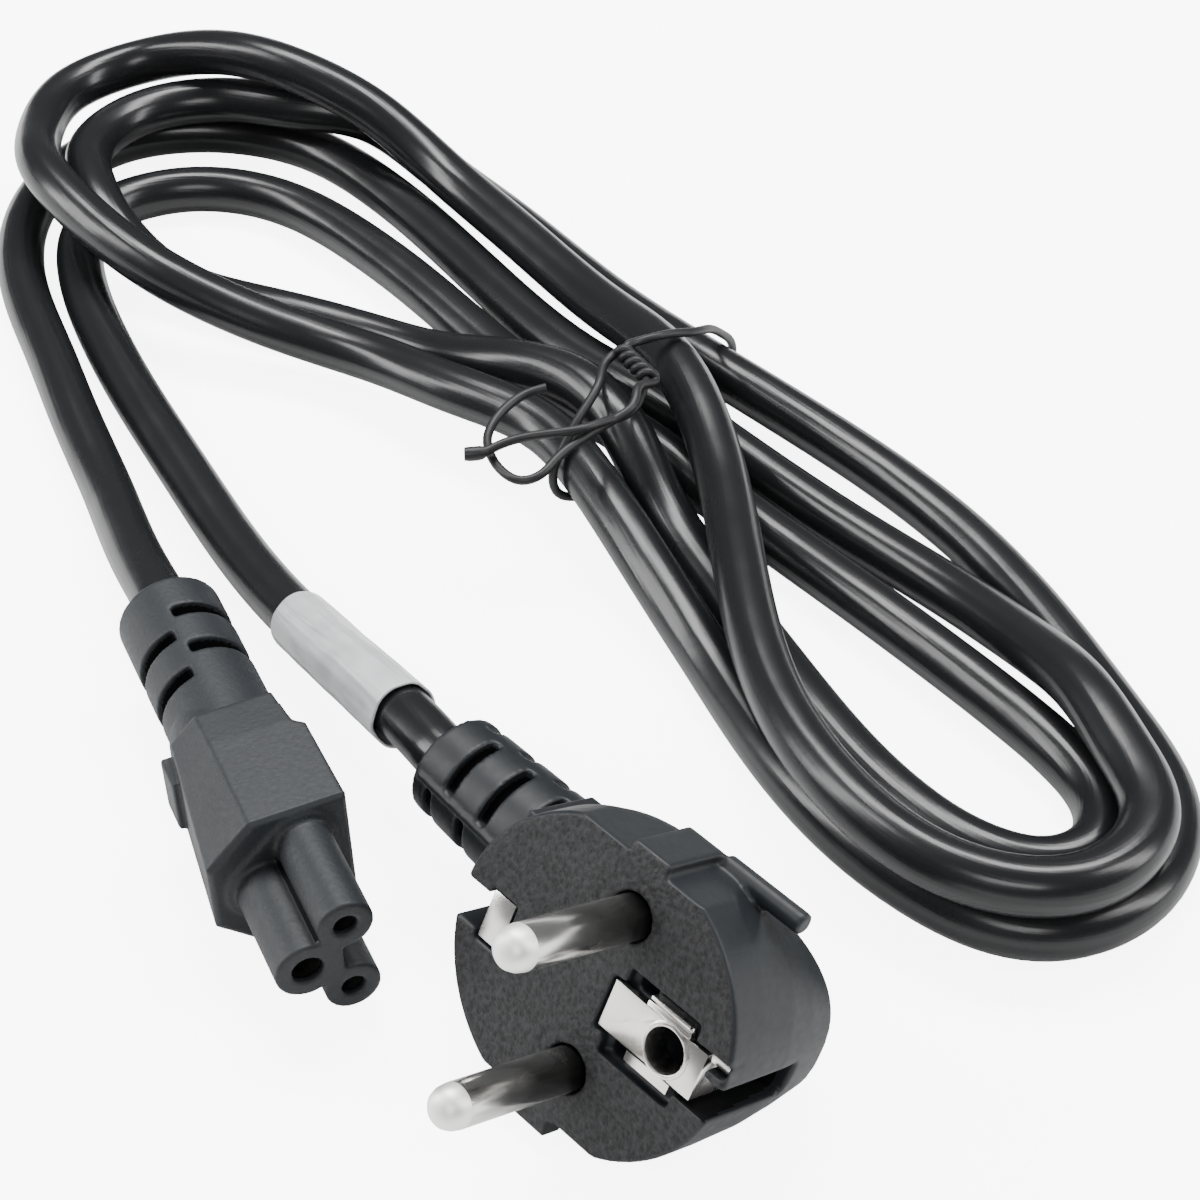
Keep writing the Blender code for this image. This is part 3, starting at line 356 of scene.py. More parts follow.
def applied(item):
    """Works the modifiers of an object into its mesh."""
    bpy.context.view_layer.update()
    graph = bpy.context.evaluated_depsgraph_get()
    result = bpy.data.meshes.new_from_object(item.evaluated_get(graph))
    item.modifiers.clear()
    old = item.data
    item.data = result
    bpy.data.meshes.remove(old)


def combined(item, operation, *shapes):
    """Adds shapes to an object or cuts them from it, one after another."""
    for shape in shapes:
        other = solid(shape)
        modifier = item.modifiers.new("shape", "BOOLEAN")
        modifier.operation = operation
        modifier.solver = "EXACT"
        modifier.object = other
        applied(item)
        bpy.data.objects.remove(other, do_unlink=True)


def moulded(item, name, place, grid, passes):
    """Rounds every edge of a solid the way a mould does, then puts it in its place."""
    item.name = name
    item.data.name = name
    remesh = item.modifiers.new("grid", "REMESH")
    remesh.mode = "VOXEL"
    remesh.voxel_size = grid * MM
    soft = item.modifiers.new("soft", "SMOOTH")
    soft.factor = 0.5
    soft.iterations = passes
    applied(item)
    item.data.transform(place)
    for face in item.data.polygons:
        face.use_smooth = True


def body_section(x, right, top, inset=0.0):
    """The body's section. Its earth side has both corners cut off and leans in towards the cord."""
    lean = -0.11 * x
    left = -10.9 + inset + lean
    across = -5.5 + 0.6 * inset
    top -= inset
    down = top - 5.1 * (1 - lean / 5.4) + 0.4 * inset
    right -= inset
    corners = [(right, -top), (right, top), (across, top), (left, down), (left, -down), (across, -top)]
    return [(x, y, z) for y, z in corners]


def connector_block(bm):
    stacked(
        bm,
        [
            body_section(-20.2, 3.4, 8.4, 0.9),
            body_section(-19.2, 3.5, 9.1),
            body_section(-13.6, 4.1, 9.45),
            body_section(-12.6, 5.3, 9.45),
            body_section(-0.5, 5.5, 9.5),
            body_section(0.0, 5.5, 9.5, 0.5),
        ],
    )


connector = solid(connector_block)
# Each tube of the nose by its Y, its Z, its outer radius and the radius of its bore.
NOSE_TUBES = [(0.0, 4.8, 3.15, 1.3), (0.0, -4.8, 3.15, 1.3), (-4.7, 0.0, 3.6, 1.75)]
combined(
    connector,
    "UNION",
    lambda bm: rod(bm, (-10, -1.2, 0), (-1, 0, 0), 36.2, 6.4),
    lambda bm: rod(bm, (-18.0, -2.2, 0), (-1, 0, 0), 7.0, 7.0, 5.7),
    lambda bm: moulding_frame_box(bm, (-19.6, -10.2, -3.4), (-15.0, -7.8, 3.8)),
)


def nose_lip(bm):
    """The low step that follows the three tubes where they leave the body."""
    for x in (-1.0, 0.35):
        for y, z, outer, bore in NOSE_TUBES:
            for k in range(32):
                angle = 2 * math.pi * (k + 0.5) / 32
                across = min(4.6, y + (outer + 0.9) * math.cos(angle))
                up = max(-8.6, min(8.6, z + (outer + 0.9) * math.sin(angle)))
                bm.verts.new(Vector((x, across, up)) * MM)
    hull = bmesh.ops.convex_hull(bm, input=bm.verts[:])
    inner = [item for item in hull["geom_interior"] if isinstance(item, bmesh.types.BMVert)]
    bmesh.ops.delete(bm, geom=inner, context="VERTS")


combined(connector, "UNION", nose_lip)
for y, z, outer, bore in NOSE_TUBES:
    combined(
        connector,
        "UNION",
        lambda bm, y=y, z=z, outer=outer: rod(bm, (-2, y, z), (1, 0, 0), 15.7, outer),
    )
combined(
    connector,
    "UNION",
    lambda bm: stacked(bm, [[(x, -4.7, 0), (x, -0.6, -2.4), (x, -0.6, 2.4)] for x in (-2, 13.68)]),
)
for y, z, outer, bore in NOSE_TUBES:
    combined(
        connector,
        "DIFFERENCE",
        lambda bm, y=y, z=z, bore=bore: rod(bm, (11.7, y, z), (1, 0, 0), 4, bore),
        lambda bm, y=y, z=z, bore=bore: rod(bm, (12.7, y, z), (-1, 0, 0), 9.6, bore + 0.78),
    )


SLOT_WIDTH = 1.85
SLOT_PITCH = 6.7
SLOTS_MEET = -2.4


def connector_slots(bm):
    """Two slots from each side of the strain relief, set between those of the other side."""
    for side, first in ((1, -41.0), (-1, -37.2)):
        for k in range(2):
            start = first + SLOT_PITCH * k
            low, high = sorted((SLOTS_MEET + side * 0.4, SLOTS_MEET + side * 12))
            moulding_frame_box(bm, (start, low, -12), (start + SLOT_WIDTH, high, 12))


combined(connector, "DIFFERENCE", connector_slots)
combined(connector, "UNION", lambda bm: rod(bm, (-22, -1.2, 0), (-1, 0, 0), 23.6, 4.4))
moulded(connector, "connector_moulding", connector_place, grid=0.25, passes=3)


def grain_group():
    """The texture that a spark-eroded mould leaves: a fine grain, and soft clouds across it."""
    group = bpy.data.node_groups.new("mould_grain", "ShaderNodeTree")
    for label, value in (("Scale", 1400.0), ("Cloud", 90.0)):
        socket = group.interface.new_socket(label, in_out="INPUT", socket_type="NodeSocketFloat")
        socket.default_value = value
    for label in ("Grain", "Cloud"):
        group.interface.new_socket(label, in_out="OUTPUT", socket_type="NodeSocketFloat")
    enter = group.nodes.new("NodeGroupInput")
    leave = group.nodes.new("NodeGroupOutput")
    where = group.nodes.new("ShaderNodeTexCoord")
    fine = group.nodes.new("ShaderNodeTexNoise")
    fine.inputs["Detail"].default_value = 3.0
    fine.inputs["Roughness"].default_value = 0.65
    pits = group.nodes.new("ShaderNodeTexVoronoi")
    blend = group.nodes.new("ShaderNodeMath")
    blend.operation = "MULTIPLY_ADD"
    blend.inputs[1].default_value = 0.35
    cloud = group.nodes.new("ShaderNodeTexNoise")
    cloud.inputs["Detail"].default_value = 4.0
    for texture in (fine, pits):
        group.links.new(where.outputs["Object"], texture.inputs["Vector"])
        group.links.new(enter.outputs["Scale"], texture.inputs["Scale"])
    group.links.new(where.outputs["Object"], cloud.inputs["Vector"])
    group.links.new(enter.outputs["Cloud"], cloud.inputs["Scale"])
    group.links.new(pits.outputs["Distance"], blend.inputs[0])
    group.links.new(fine.outputs["Fac"], blend.inputs[2])
    group.links.new(blend.outputs[0], leave.inputs["Grain"])
    group.links.new(cloud.outputs["Fac"], leave.inputs["Cloud"])
    return group


mould_grain = grain_group()


def moulded_plastic(name, dark, light, roughness, grain_scale, grain_depth, speckled=False):
    """Grained plastic. A speckled one is lighter on its grains, any other in soft clouds."""
    made, tree, shader = new_material(name, Specular_IOR_Level=0.3)
    grain = node(tree, "ShaderNodeGroup", node_tree=mould_grain)
    grain.inputs["Scale"].default_value = grain_scale
    tint = node(tree, "ShaderNodeMix", data_type="RGBA")
    tint.inputs["A"].default_value = (*dark, 1)
    tint.inputs["B"].default_value = (*light, 1)
    spread = node(tree, "ShaderNodeMapRange")
    spread.inputs["From Min"].default_value = 0.5 if speckled else 0.3
    spread.inputs["From Max"].default_value = 0.85 if speckled else 0.75
    tree.links.new(grain.outputs["Grain" if speckled else "Cloud"], spread.inputs["Value"])
    tree.links.new(spread.outputs["Result"], tint.inputs["Factor"])
    tree.links.new(tint.outputs["Result"], shader.inputs["Base Color"])
    rough = node(tree, "ShaderNodeMapRange")
    rough.inputs["To Min"].default_value = roughness - 0.06
    rough.inputs["To Max"].default_value = roughness + 0.08
    tree.links.new(grain.outputs["Grain"], rough.inputs["Value"])
    tree.links.new(rough.outputs["Result"], shader.inputs["Roughness"])
    bump = node(tree, "ShaderNodeBump", Strength=0.5, Distance=grain_depth)
    tree.links.new(grain.outputs["Grain"], bump.inputs["Height"])
    tree.links.new(bump.outputs["Normal"], shader.inputs["Normal"])
    return made


def painted_deep_shade(name):
    """Painted shade: the same plastic painted near black where it lies deep in a groove, a slot or a crease.
    """
    made, tree, shader = new_material(name, Roughness=0.7, Specular_IOR_Level=0.1)
    grain = node(tree, "ShaderNodeGroup", node_tree=mould_grain)
    tint = node(tree, "ShaderNodeMix", data_type="RGBA")
    tint.inputs["A"].default_value = (0.0008, 0.0009, 0.001, 1)
    tint.inputs["B"].default_value = (0.002, 0.0022, 0.0025, 1)
    tree.links.new(grain.outputs["Grain"], tint.inputs["Factor"])
    tree.links.new(tint.outputs["Result"], shader.inputs["Base Color"])
    return made


# Painted shade: one near-black plastic for faces deep in grooves, slots and creases.
painted_groove_shade = painted_deep_shade("painted_groove_shade")
connector_plastic = moulded_plastic(
    "connector_grey_black",
    dark=(0.0095, 0.0115, 0.0135),
    light=(0.0145, 0.0165, 0.0195),
    roughness=0.5,
    grain_scale=1500.0,
    grain_depth=0.00008,
)
connector.data.materials.append(connector_plastic)
connector.data.materials.append(painted_groove_shade)
back_to_connector = connector_place.inverted()
# Painted shade: faces deep in the strain relief's slots and in the crease between the tubes and the web are
# painted near black.
for face in connector.data.polygons:
    spot = (back_to_connector @ face.center) / MM
    in_shaded_slot = -43.5 < spot.x < -25 and math.hypot(spot.y + 1.2, spot.z) < 5.8
    from_earth_tube = math.hypot(spot.y + 4.7, spot.z)
    from_outer_tube = math.hypot(spot.y, abs(spot.z) - 4.8)
    in_shaded_crease = 0 < spot.x < 13.2 and from_earth_tube < 4.05 and from_outer_tube < 3.6
    if in_shaded_slot or in_shaded_crease:
        face.material_index = 1
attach(connector, "root")
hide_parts("connector_body")


# Contacts in the connector
# Three sleeves of nickel-plated brass sit inside the nose, one behind each entry.
# The plastic moulded round them holds them, and only their rims show in the bores, where their nickel is
# painted near black as painted shade.
def nickel_plate(name, colour, roughness):
    """Plated metal, wiped to a gloss that changes from place to place."""
    made, tree, shader = new_material(name, Metallic=1.0, Base_Color=(*colour, 1))
    where = node(tree, "ShaderNodeTexCoord")
    wipe = node(tree, "ShaderNodeTexNoise", Scale=260.0, Detail=4.0)
    tree.links.new(where.outputs["Object"], wipe.inputs["Vector"])
    rough = node(tree, "ShaderNodeMapRange")
    rough.inputs["To Min"].default_value = roughness * 0.7
    rough.inputs["To Max"].default_value = roughness * 1.5
    tree.links.new(wipe.outputs["Fac"], rough.inputs["Value"])
    tree.links.new(rough.outputs["Result"], shader.inputs["Roughness"])
    bump = node(tree, "ShaderNodeBump", Strength=0.12, Distance=0.00005)
    tree.links.new(wipe.outputs["Fac"], bump.inputs["Height"])
    tree.links.new(bump.outputs["Normal"], shader.inputs["Normal"])
    return made


# Painted shade: the sleeves' nickel is coloured near black for the shade deep in the bores.
contact_metal_painted_dark = nickel_plate("contact_nickel_painted_shade", (0.06, 0.058, 0.055), 0.5)
for name in ("connector_contact_line", "connector_contact_neutral", "connector_contact_earth"):
    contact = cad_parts[name]
    contact.data.materials.clear()
    contact.data.materials.append(contact_metal_painted_dark)


# Plug
# The angled plug is one moulding round its pins: a round grained face, smooth sides that narrow into a grip,
# a block at the cord's side and a ribbed strain relief. A deep slot in the rim lets the earth strip spring.
def plug_section(z, front, back, width, power=2.6, count=96):
    """A rounded section across the plug, squarer with more power."""
    section = []
    for k in range(count):
        angle = 2 * math.pi * k / count
        c, s = math.cos(angle), math.sin(angle)
        along = math.copysign(abs(c) ** (2 / power), c)
        across = math.copysign(abs(s) ** (2 / power), s)
        section.append(((front + back) / 2 + along * (front - back) / 2, across * width / 2, z))
    return section


def plug_drum(bm):
    """The drum from its narrow back to the face. Its bent quads are cut in two for the Booleans."""
    stacked(
        bm,
        [
            plug_section(-24.0, 10.6, -16.9, 10.6),
            plug_section(-23.2, 12.2, -18.0, 13.2),
            plug_section(-22.0, 13.3, -18.7, 15.2),
            plug_section(-18.0, 16.6, -19.5, 21.0),
            plug_section(-14.0, 17.0, -19.5, 26.2, 2.4),
            plug_section(-10.0, 17.3, -19.5, 30.8, 2.2),
            plug_section(-5.0, 17.4, -20.0, 34.8, 2.0),
            plug_section(-0.3, 17.4, -20.0, 34.8, 2.0),
            plug_section(0.0, 17.1, -19.7, 34.2, 2.0),
        ],
    )
    bmesh.ops.triangulate(bm, faces=[face for face in bm.faces if len(face.verts) == 4])


plug = solid(plug_drum)
RELIEF_X = -19.8
RELIEF_Z = -15.3
RELIEF_DROP = 1.5
RELIEF_LENGTH = 18.8
GROOVE_WIDTH = 1.5
GROOVE_PITCH = 2.95


def relief_axis(reach):
    """The middle of the strain relief at a distance from its block."""
    return Vector((RELIEF_X - reach, 0, RELIEF_Z - RELIEF_DROP * reach / RELIEF_LENGTH))


def relief_grooves(bm):
    """Six grooves, each cut into two opposite quarters of the strain relief, in turn."""
    for k in range(6):
        middle = relief_axis(RELIEF_LENGTH - 1.65 - GROOVE_PITCH * k)
        for side in (1, -1):
            up = -side if k % 2 == 0 else side
            low_y, high_y = sorted((side * 0.7, side * 14))
            low_z, high_z = sorted((middle.z + up * 0.7, middle.z + up * 14))
            moulding_frame_box(bm, (middle.x, low_y, low_z), (middle.x + GROOVE_WIDTH, high_y, high_z))


def relief_spine(bm):
    """The parting line left standing along the strain relief."""
    sections = []
    for reach, top in ((0.5, 7.15), (18.4, 6.55)):
        middle = relief_axis(reach)
        corners = ((-0.28, 4), (0.28, 4), (0.28, top), (-0.28, top))
        sections.append([(middle.x, y, middle.z + z) for y, z in corners])
    stacked(bm, sections)


combined(
    plug,
    "DIFFERENCE",
    lambda bm: moulding_frame_box(bm, (-30, 15.5, -30), (30, 30, 3)),
    lambda bm: moulding_frame_box(bm, (-30, -30, -30), (30, -15.5, 3)),
)
relief_way = relief_axis(RELIEF_LENGTH) - relief_axis(0)
combined(
    plug,
    "UNION",
    lambda bm: moulding_frame_box(bm, (-19.8, -8.2, -16.4), (-9.9, 8.2, -6.0)),
    lambda bm: rod(bm, relief_axis(-6), relief_way, 24.8, 7.1, 6.2),
    lambda bm: moulding_frame_box(bm, (-3.2, 8, -9.3), (1.9, 16.8, -0.12)),
    lambda bm: moulding_frame_box(bm, (-4.4, -17.8, -3.0), (0.7, -8, -0.12)),
    lambda bm: rod(bm, (2.2, 15.5, -9.8), (1, 0, 0), 10.8, 1.2, sides=32),
)
combined(plug, "DIFFERENCE", relief_grooves)
combined(plug, "UNION", lambda bm: rod(bm, relief_axis(-4), relief_way, 21.8, 4.4), relief_spine)
# The earth plate's recess in two depths, the slot in the rim in two, three pockets beside the plate,
# and the clip's notch in two.
PLUG_CUTS = [
    ((2.6, -5.2, -1.4), (12.3, 5.2, 3)),
    ((1.0, -3.2, -1.5), (13.5, 3.2, 3)),
    ((12.95, -3.3, -6.6), (14.7, 3.3, 3)),
    ((12.95, -3.3, -12.8), (22, 0.6, 3)),
    ((14.6, 1.6, -2.3), (17.0, 3.4, 3)),
    ((3.4, 3.0, -5.0), (5.6, 4.9, 3)),
    ((3.4, -4.9, -5.0), (5.6, -3.0, 3)),
    ((-16.5, -4.4, -8.3), (-12.7, 2.0, 3)),
    ((-23, -3.5, -7.5), (-16.2, 1.1, 3)),
]
for low, high in PLUG_CUTS:
    combined(plug, "DIFFERENCE", lambda bm, low=low, high=high: moulding_frame_box(bm, low, high))
combined(plug, "DIFFERENCE", lambda bm: rod(bm, (9.6, 0, 3), (0, 0, -1), 18, 2.75))
PIN_OFFSET = 9.5
for y in (PIN_OFFSET, -PIN_OFFSET):
    combined(
        plug,
        "DIFFERENCE",
        lambda bm, y=y: rod(bm, (0, y, 3), (0, 0, -1), 6.3, 2.65),
        lambda bm, y=y: rod(bm, (0, y, 3), (0, 0, -1), 3.3, 4.5),
    )
    combined(plug, "UNION", lambda bm, y=y: rod(bm, (0, y, -0.12), (0, 0, -1), 2, 4.1))
    combined(plug, "DIFFERENCE", lambda bm, y=y: rod(bm, (0, y, 3), (0, 0, -1), 6.3, 2.65))
moulded(plug, "plug_moulding", plug_place, grid=0.29, passes=2)
plug_side = moulded_plastic(
    "plug_side_black",
    dark=(0.0065, 0.008, 0.0098),
    light=(0.0095, 0.0115, 0.0138),
    roughness=0.44,
    grain_scale=900.0,
    grain_depth=0.00003,
)
plug_face = moulded_plastic(
    "plug_face_grained",
    dark=(0.0055, 0.0056, 0.006),
    light=(0.024, 0.0245, 0.026),
    roughness=0.58,
    grain_scale=1500.0,
    grain_depth=0.0005,
    speckled=True,
)
plug.data.materials.append(plug_side)
plug.data.materials.append(plug_face)
plug.data.materials.append(painted_groove_shade)
away = plug_place.to_3x3() @ Vector((0, 0, 1))
back_to_plug = plug_place.inverted()
# The face gets its grained plastic. Painted shade: faces deep in the rim's slot and on the strain relief's
# core between its grooves are painted near black.
for face in plug.data.polygons:
    spot = (back_to_plug @ face.center) / MM
    rim_side = 16.8 + 0.1 * spot.z
    in_shaded_slot = 12.6 < spot.x < rim_side and -3.42 < spot.y < 0.75 and -12.95 < spot.z < -0.25
    from_axis = math.hypot(spot.y, spot.z - relief_axis(RELIEF_X - spot.x).z)
    if face.normal.dot(away) > 0.85 and spot.z > -0.6:
        face.material_index = 1
    elif in_shaded_slot or (-37 < spot.x < -21 and from_axis < 5.6):
        face.material_index = 2
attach(plug, "root")
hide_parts("plug_body")


# Pins
# Two solid pins of nickel-plated brass, turned with rounded tips, 19 mm apart and 19 mm long.
# The plug is moulded round their feet, and each stands in a shallow round dip of its face.
PIN_RADIUS = 2.4
PIN_FOOT = -3
TIP_PROFILE = [(16.4, 2.4), (17.4, 2.28), (18.15, 1.97), (18.65, 1.5), (18.93, 0.85), (19.0, 0.2)]
TIP_STARTS = 16.45


def placed(name, bm, place):
    """Makes a finished bmesh an object, with its place in its mesh."""
    bm.transform(place)
    bmesh.ops.recalc_face_normals(bm, faces=bm.faces[:])
    mesh = bpy.data.meshes.new(name)
    bm.to_mesh(mesh)
    bm.free()
    for face in mesh.polygons:
        face.use_smooth = True
    made = bpy.data.objects.new(name, mesh)
    bpy.context.scene.collection.objects.link(made)
    return made


pin_metal = nickel_plate("pin_nickel", (0.7, 0.69, 0.67), 0.22)
tip_metal = nickel_plate("pin_tip_nickel", (0.86, 0.86, 0.84), 0.5)
for name, node_name, side in (("pin_upper", "plug_pin_line", 1), ("pin_lower", "plug_pin_neutral", -1)):
    bm = bmesh.new()
    bmesh.ops.create_circle(bm, cap_ends=True, segments=64, radius=PIN_RADIUS * MM)
    bmesh.ops.translate(bm, verts=bm.verts[:], vec=Vector((0, side * PIN_OFFSET, PIN_FOOT)) * MM)
    top = bm.faces[:]
    for z, radius in TIP_PROFILE:
        raised = bmesh.ops.extrude_face_region(bm, geom=top)
        verts = [item for item in raised["geom"] if isinstance(item, bmesh.types.BMVert)]
        bmesh.ops.delete(bm, geom=top, context="FACES_ONLY")
        top = [item for item in raised["geom"] if isinstance(item, bmesh.types.BMFace)]
        for vert in verts:
            flat = Vector((vert.co.x, vert.co.y - side * PIN_OFFSET * MM, 0)).normalized() * radius * MM
            vert.co = Vector((flat.x, flat.y + side * PIN_OFFSET * MM, z * MM))
    rim = [edge for edge in bm.edges if len(edge.link_faces) == 1]
    bmesh.ops.edgeloop_fill(bm, edges=rim)
    pin = placed(name, bm, plug_place)
    pin.data.materials.append(pin_metal)
    pin.data.materials.append(tip_metal)
    for face in pin.data.polygons:
        if (back_to_plug @ face.center).z > TIP_STARTS * MM:
            face.material_index = 1
    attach(pin, "root")
    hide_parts(node_name)


# Earth contacts
# Both are stamped from nickel-plated strip: a plate with a round hole that folds over the plug's rim,
# and a clip on the cord's side that shows as a bright flat in its notch.
def eased_edges(bm, width):
    """Takes the sharpness off the edges that stamping leaves."""
    sharp = [edge for edge in bm.edges if edge.is_manifold and edge.calc_face_angle() > 0.6]
    bmesh.ops.bevel(bm, geom=sharp, offset=width * MM, affect="EDGES", segments=2, profile=0.5, material=-1)


strip_metal = nickel_plate("earth_strip_nickel", (0.80, 0.78, 0.75), 0.24)

plate = solid(lambda bm: moulding_frame_box(bm, (1.3, -2.8, -1.1), (14.2, 2.8, -0.3)))
combined(
    plate,
    "UNION",
    lambda bm: moulding_frame_box(bm, (5.6, -4.1, -1.09), (11.6, 3.4, -0.31)),
    lambda bm: moulding_frame_box(bm, (6.0, 3.1, -1.3), (11.4, 4.2, -0.75)),
    lambda bm: moulding_frame_box(bm, (6.0, 3.9, -1.31), (11.4, 4.3, 0.15)),
    lambda bm: moulding_frame_box(bm, (13.4, -2.8, -6.0), (14.2, 2.8, -0.9)),
    lambda bm: moulding_frame_box(bm, (13.6, 1.9, -1.9), (16.6, 3.1, -1.15)),
    lambda bm: rod(bm, (9.6, 0, -0.1), (0, 0, -1), 3.6, 2.95, 2.7),
)
combined(plate, "DIFFERENCE", lambda bm: rod(bm, (9.6, 0, 2), (0, 0, -1), 9, 2.45))
bm = bmesh.new()
bm.from_mesh(plate.data)
bmesh.ops.remove_doubles(bm, verts=bm.verts[:], dist=0.001 * MM)
bmesh.ops.dissolve_limit(bm, angle_limit=0.02, verts=bm.verts[:], edges=bm.edges[:])
eased_edges(bm, 0.12)
bpy.data.objects.remove(plate, do_unlink=True)
plate = placed("earth_plate", bm, plug_place)
plate.data.materials.append(strip_metal)
plate.data.set_sharp_from_angle(angle=math.radians(40))
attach(plate, "root")
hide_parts("plug_earth_plate")

clip = solid(lambda bm: moulding_frame_box(bm, (-16.2, -4.1, -1.1), (-13.0, 1.7, -0.3)))
combined(clip, "UNION", lambda bm: moulding_frame_box(bm, (-16.2, -4.1, -8.0), (-15.4, 1.7, -0.9)))
bm = bmesh.new()
bm.from_mesh(clip.data)
bmesh.ops.dissolve_limit(bm, angle_limit=0.02, verts=bm.verts[:], edges=bm.edges[:])
eased_edges(bm, 0.15)
bpy.data.objects.remove(clip, do_unlink=True)
clip = placed("earth_clip", bm, plug_place)
clip.data.materials.append(strip_metal)
clip.data.set_sharp_from_angle(angle=math.radians(40))
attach(clip, "root")
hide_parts("plug_earth_clip")


# Label sleeve
# A short tube of frosted clear film, pushed over the cord near the plug.
# It fits the cord loosely and has creases along it where it was squeezed.
SLEEVE_LENGTH = 26.8
near = Vector(LEAD_TO_PLUG[-1]) * MM + TABLE_MIDDLE
far = Vector(LEAD_TO_PLUG[-4]) * MM + TABLE_MIDDLE
sleeve_way = (far - near).normalized()
sleeve_start = near + sleeve_way * 2.0 * MM
bm = bmesh.new()
bmesh.ops.create_cone(
    bm,
    cap_ends=False,
    segments=96,
    radius1=4.2 * MM,
    radius2=3.95 * MM,
    depth=SLEEVE_LENGTH * MM,
)
lengthwise = [edge for edge in bm.edges if abs(edge.verts[0].co.z - edge.verts[1].co.z) > MM]
bmesh.ops.subdivide_edges(bm, edges=lengthwise, cuts=100)
for vert in bm.verts:
    crease = noise.noise(Vector((vert.co.x * 380, vert.co.y * 380, vert.co.z * 70)))
    ripple = noise.noise(Vector((vert.co.x * 700, vert.co.y * 700, vert.co.z * 260 + 9)))
    flat = Vector((vert.co.x, vert.co.y, 0)).normalized()
    vert.co += flat * (0.3 * crease + 0.08 * ripple) * MM
bmesh.ops.solidify(bm, geom=bm.faces[:], thickness=0.3 * MM)
crease_run = [(vert.co.x * 260, vert.co.y * 260, vert.co.z * 26) for vert in bm.verts]
turn = Vector((0, 0, 1)).rotation_difference(sleeve_way).to_matrix().to_4x4()
sleeve_middle = sleeve_start + sleeve_way * (SLEEVE_LENGTH / 2) * MM
sleeve = placed("label_sleeve_frosted", bm, Matrix.Translation(sleeve_middle) @ turn)
creases = sleeve.data.attributes.new("creases", "FLOAT_VECTOR", "POINT")
for vert, run_place in zip(sleeve.data.vertices, crease_run):
    creases.data[vert.index].vector = run_place
sleeve_material, tree, shader = new_material("frosted_film", Roughness=0.2, Specular_IOR_Level=0.6)
where = node(tree, "ShaderNodeTexCoord")
mist = node(tree, "ShaderNodeTexNoise", Scale=160.0, Detail=4.0)
tree.links.new(where.outputs["Object"], mist.inputs["Vector"])
tint = node(tree, "ShaderNodeMix", data_type="RGBA")
tint.inputs["A"].default_value = (0.26, 0.265, 0.275, 1)
tint.inputs["B"].default_value = (0.66, 0.67, 0.68, 1)
tree.links.new(mist.outputs["Fac"], tint.inputs["Factor"])
tree.links.new(tint.outputs["Result"], shader.inputs["Base Color"])
run_along = node(tree, "ShaderNodeAttribute", attribute_name="creases")
wrinkle = node(tree, "ShaderNodeTexNoise", Scale=1.6, Detail=2.0, Distortion=0.6)
tree.links.new(run_along.outputs["Vector"], wrinkle.inputs["Vector"])
fold = node(tree, "ShaderNodeMath", operation="MULTIPLY_ADD")
tree.links.new(wrinkle.outputs["Fac"], fold.inputs[0])
fold.inputs[1].default_value = 5.0
tree.links.new(mist.outputs["Fac"], fold.inputs[2])
bump = node(tree, "ShaderNodeBump", Strength=0.5, Distance=0.0003)
tree.links.new(fold.outputs[0], bump.inputs["Height"])
tree.links.new(bump.outputs["Normal"], shader.inputs["Normal"])
sleeve.data.materials.append(sleeve_material)
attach(sleeve, "root")
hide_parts("label_sleeve")


# Wire tie
# One wire in a dull black coating, bent by hand round all the strands of the hank.
# It is twisted on itself on top, and its two ends are left long and loosely curled.
WIRE_RADIUS = 0.6
END_THICKNESS = [1.1, 1.5, 1.55, 1.55, 1.55, 1.4]
KNOT_TURNS = 2.5
KNOT_STEPS = 24
KNOT_RADIUS = 0.7
TIE_LOOP = [
    (1.5, 28.9, 17.2), (0.0, 24.1, 16.8), (-1.7, 20.3, 15.6), (-3.4, 17.6, 14.2), (-4.9, 15.3, 12.2),
    (-6, 14, 9.8), (-5.7, 13.8, 6.8), (-4, 15.2, 4.6), (-2, 17.4, 3.2), (1, 21.5, 1.6),
    (4.5, 28.5, 0.8), (9, 36, 0.7), (15.6, 44.6, 0.9), (18.2, 47.4, 3), (18.3, 47, 6),
    (16.9, 44.4, 9.6), (14.8, 40.4, 13.4), (12.2, 36, 16), (9.3, 33.9, 17.2), (6.9, 32.5, 17.6),
    (4.5, 31.4, 17.6),
]
KNOT_TOP = Vector((2.8, 29.6, 17.6))
KNOT_FOOT = Vector((6.6, 23.4, 17.5))
TAIL_ONE = [
    (5.2, 20.6, 18.6), (4.2, 16.6, 18.4), (2.2, 14.8, 17.8), (-0.1, 13.1, 17.4), (-2.9, 10.7, 17),
    (-5.6, 7.9, 16.4), (-7.3, 5.8, 15.8), (-9.8, 5, 15.4), (-12.2, 6.8, 15.4), (-13.8, 10.2, 15.4),
    (-14.3, 13.4, 15.6), (-13.5, 16.4, 16), (-11.6, 19.2, 16.6), (-9.4, 21, 17), (-6.9, 21.7, 17.4),
]
TAIL_TWO = [
    (5.4, 20.9, 17.2), (4.6, 18, 17.2), (3.2, 15.8, 17.4), (0.8, 13.8, 18), (-1.5, 12, 18.4),
    (-4.7, 11, 18.4), (-9.2, 10.8, 17.8), (-12.7, 9.6, 17.4), (-14.9, 8.6, 17), (-17, 8.3, 17),
]


def knot_strand(phase):
    """One strand of the knot, which winds round the line from its top to its foot."""
    way = KNOT_FOOT - KNOT_TOP
    along = way.normalized()
    side = along.cross(Vector((0, 0, 1))).normalized()
    over = side.cross(along)
    points = []
    for k in range(KNOT_STEPS + 1):
        angle = phase + 2 * math.pi * KNOT_TURNS * k / KNOT_STEPS
        out = (side * math.cos(angle) + over * math.sin(angle)) * KNOT_RADIUS
        points.append(tuple(KNOT_TOP + way * k / KNOT_STEPS + out))
    return points


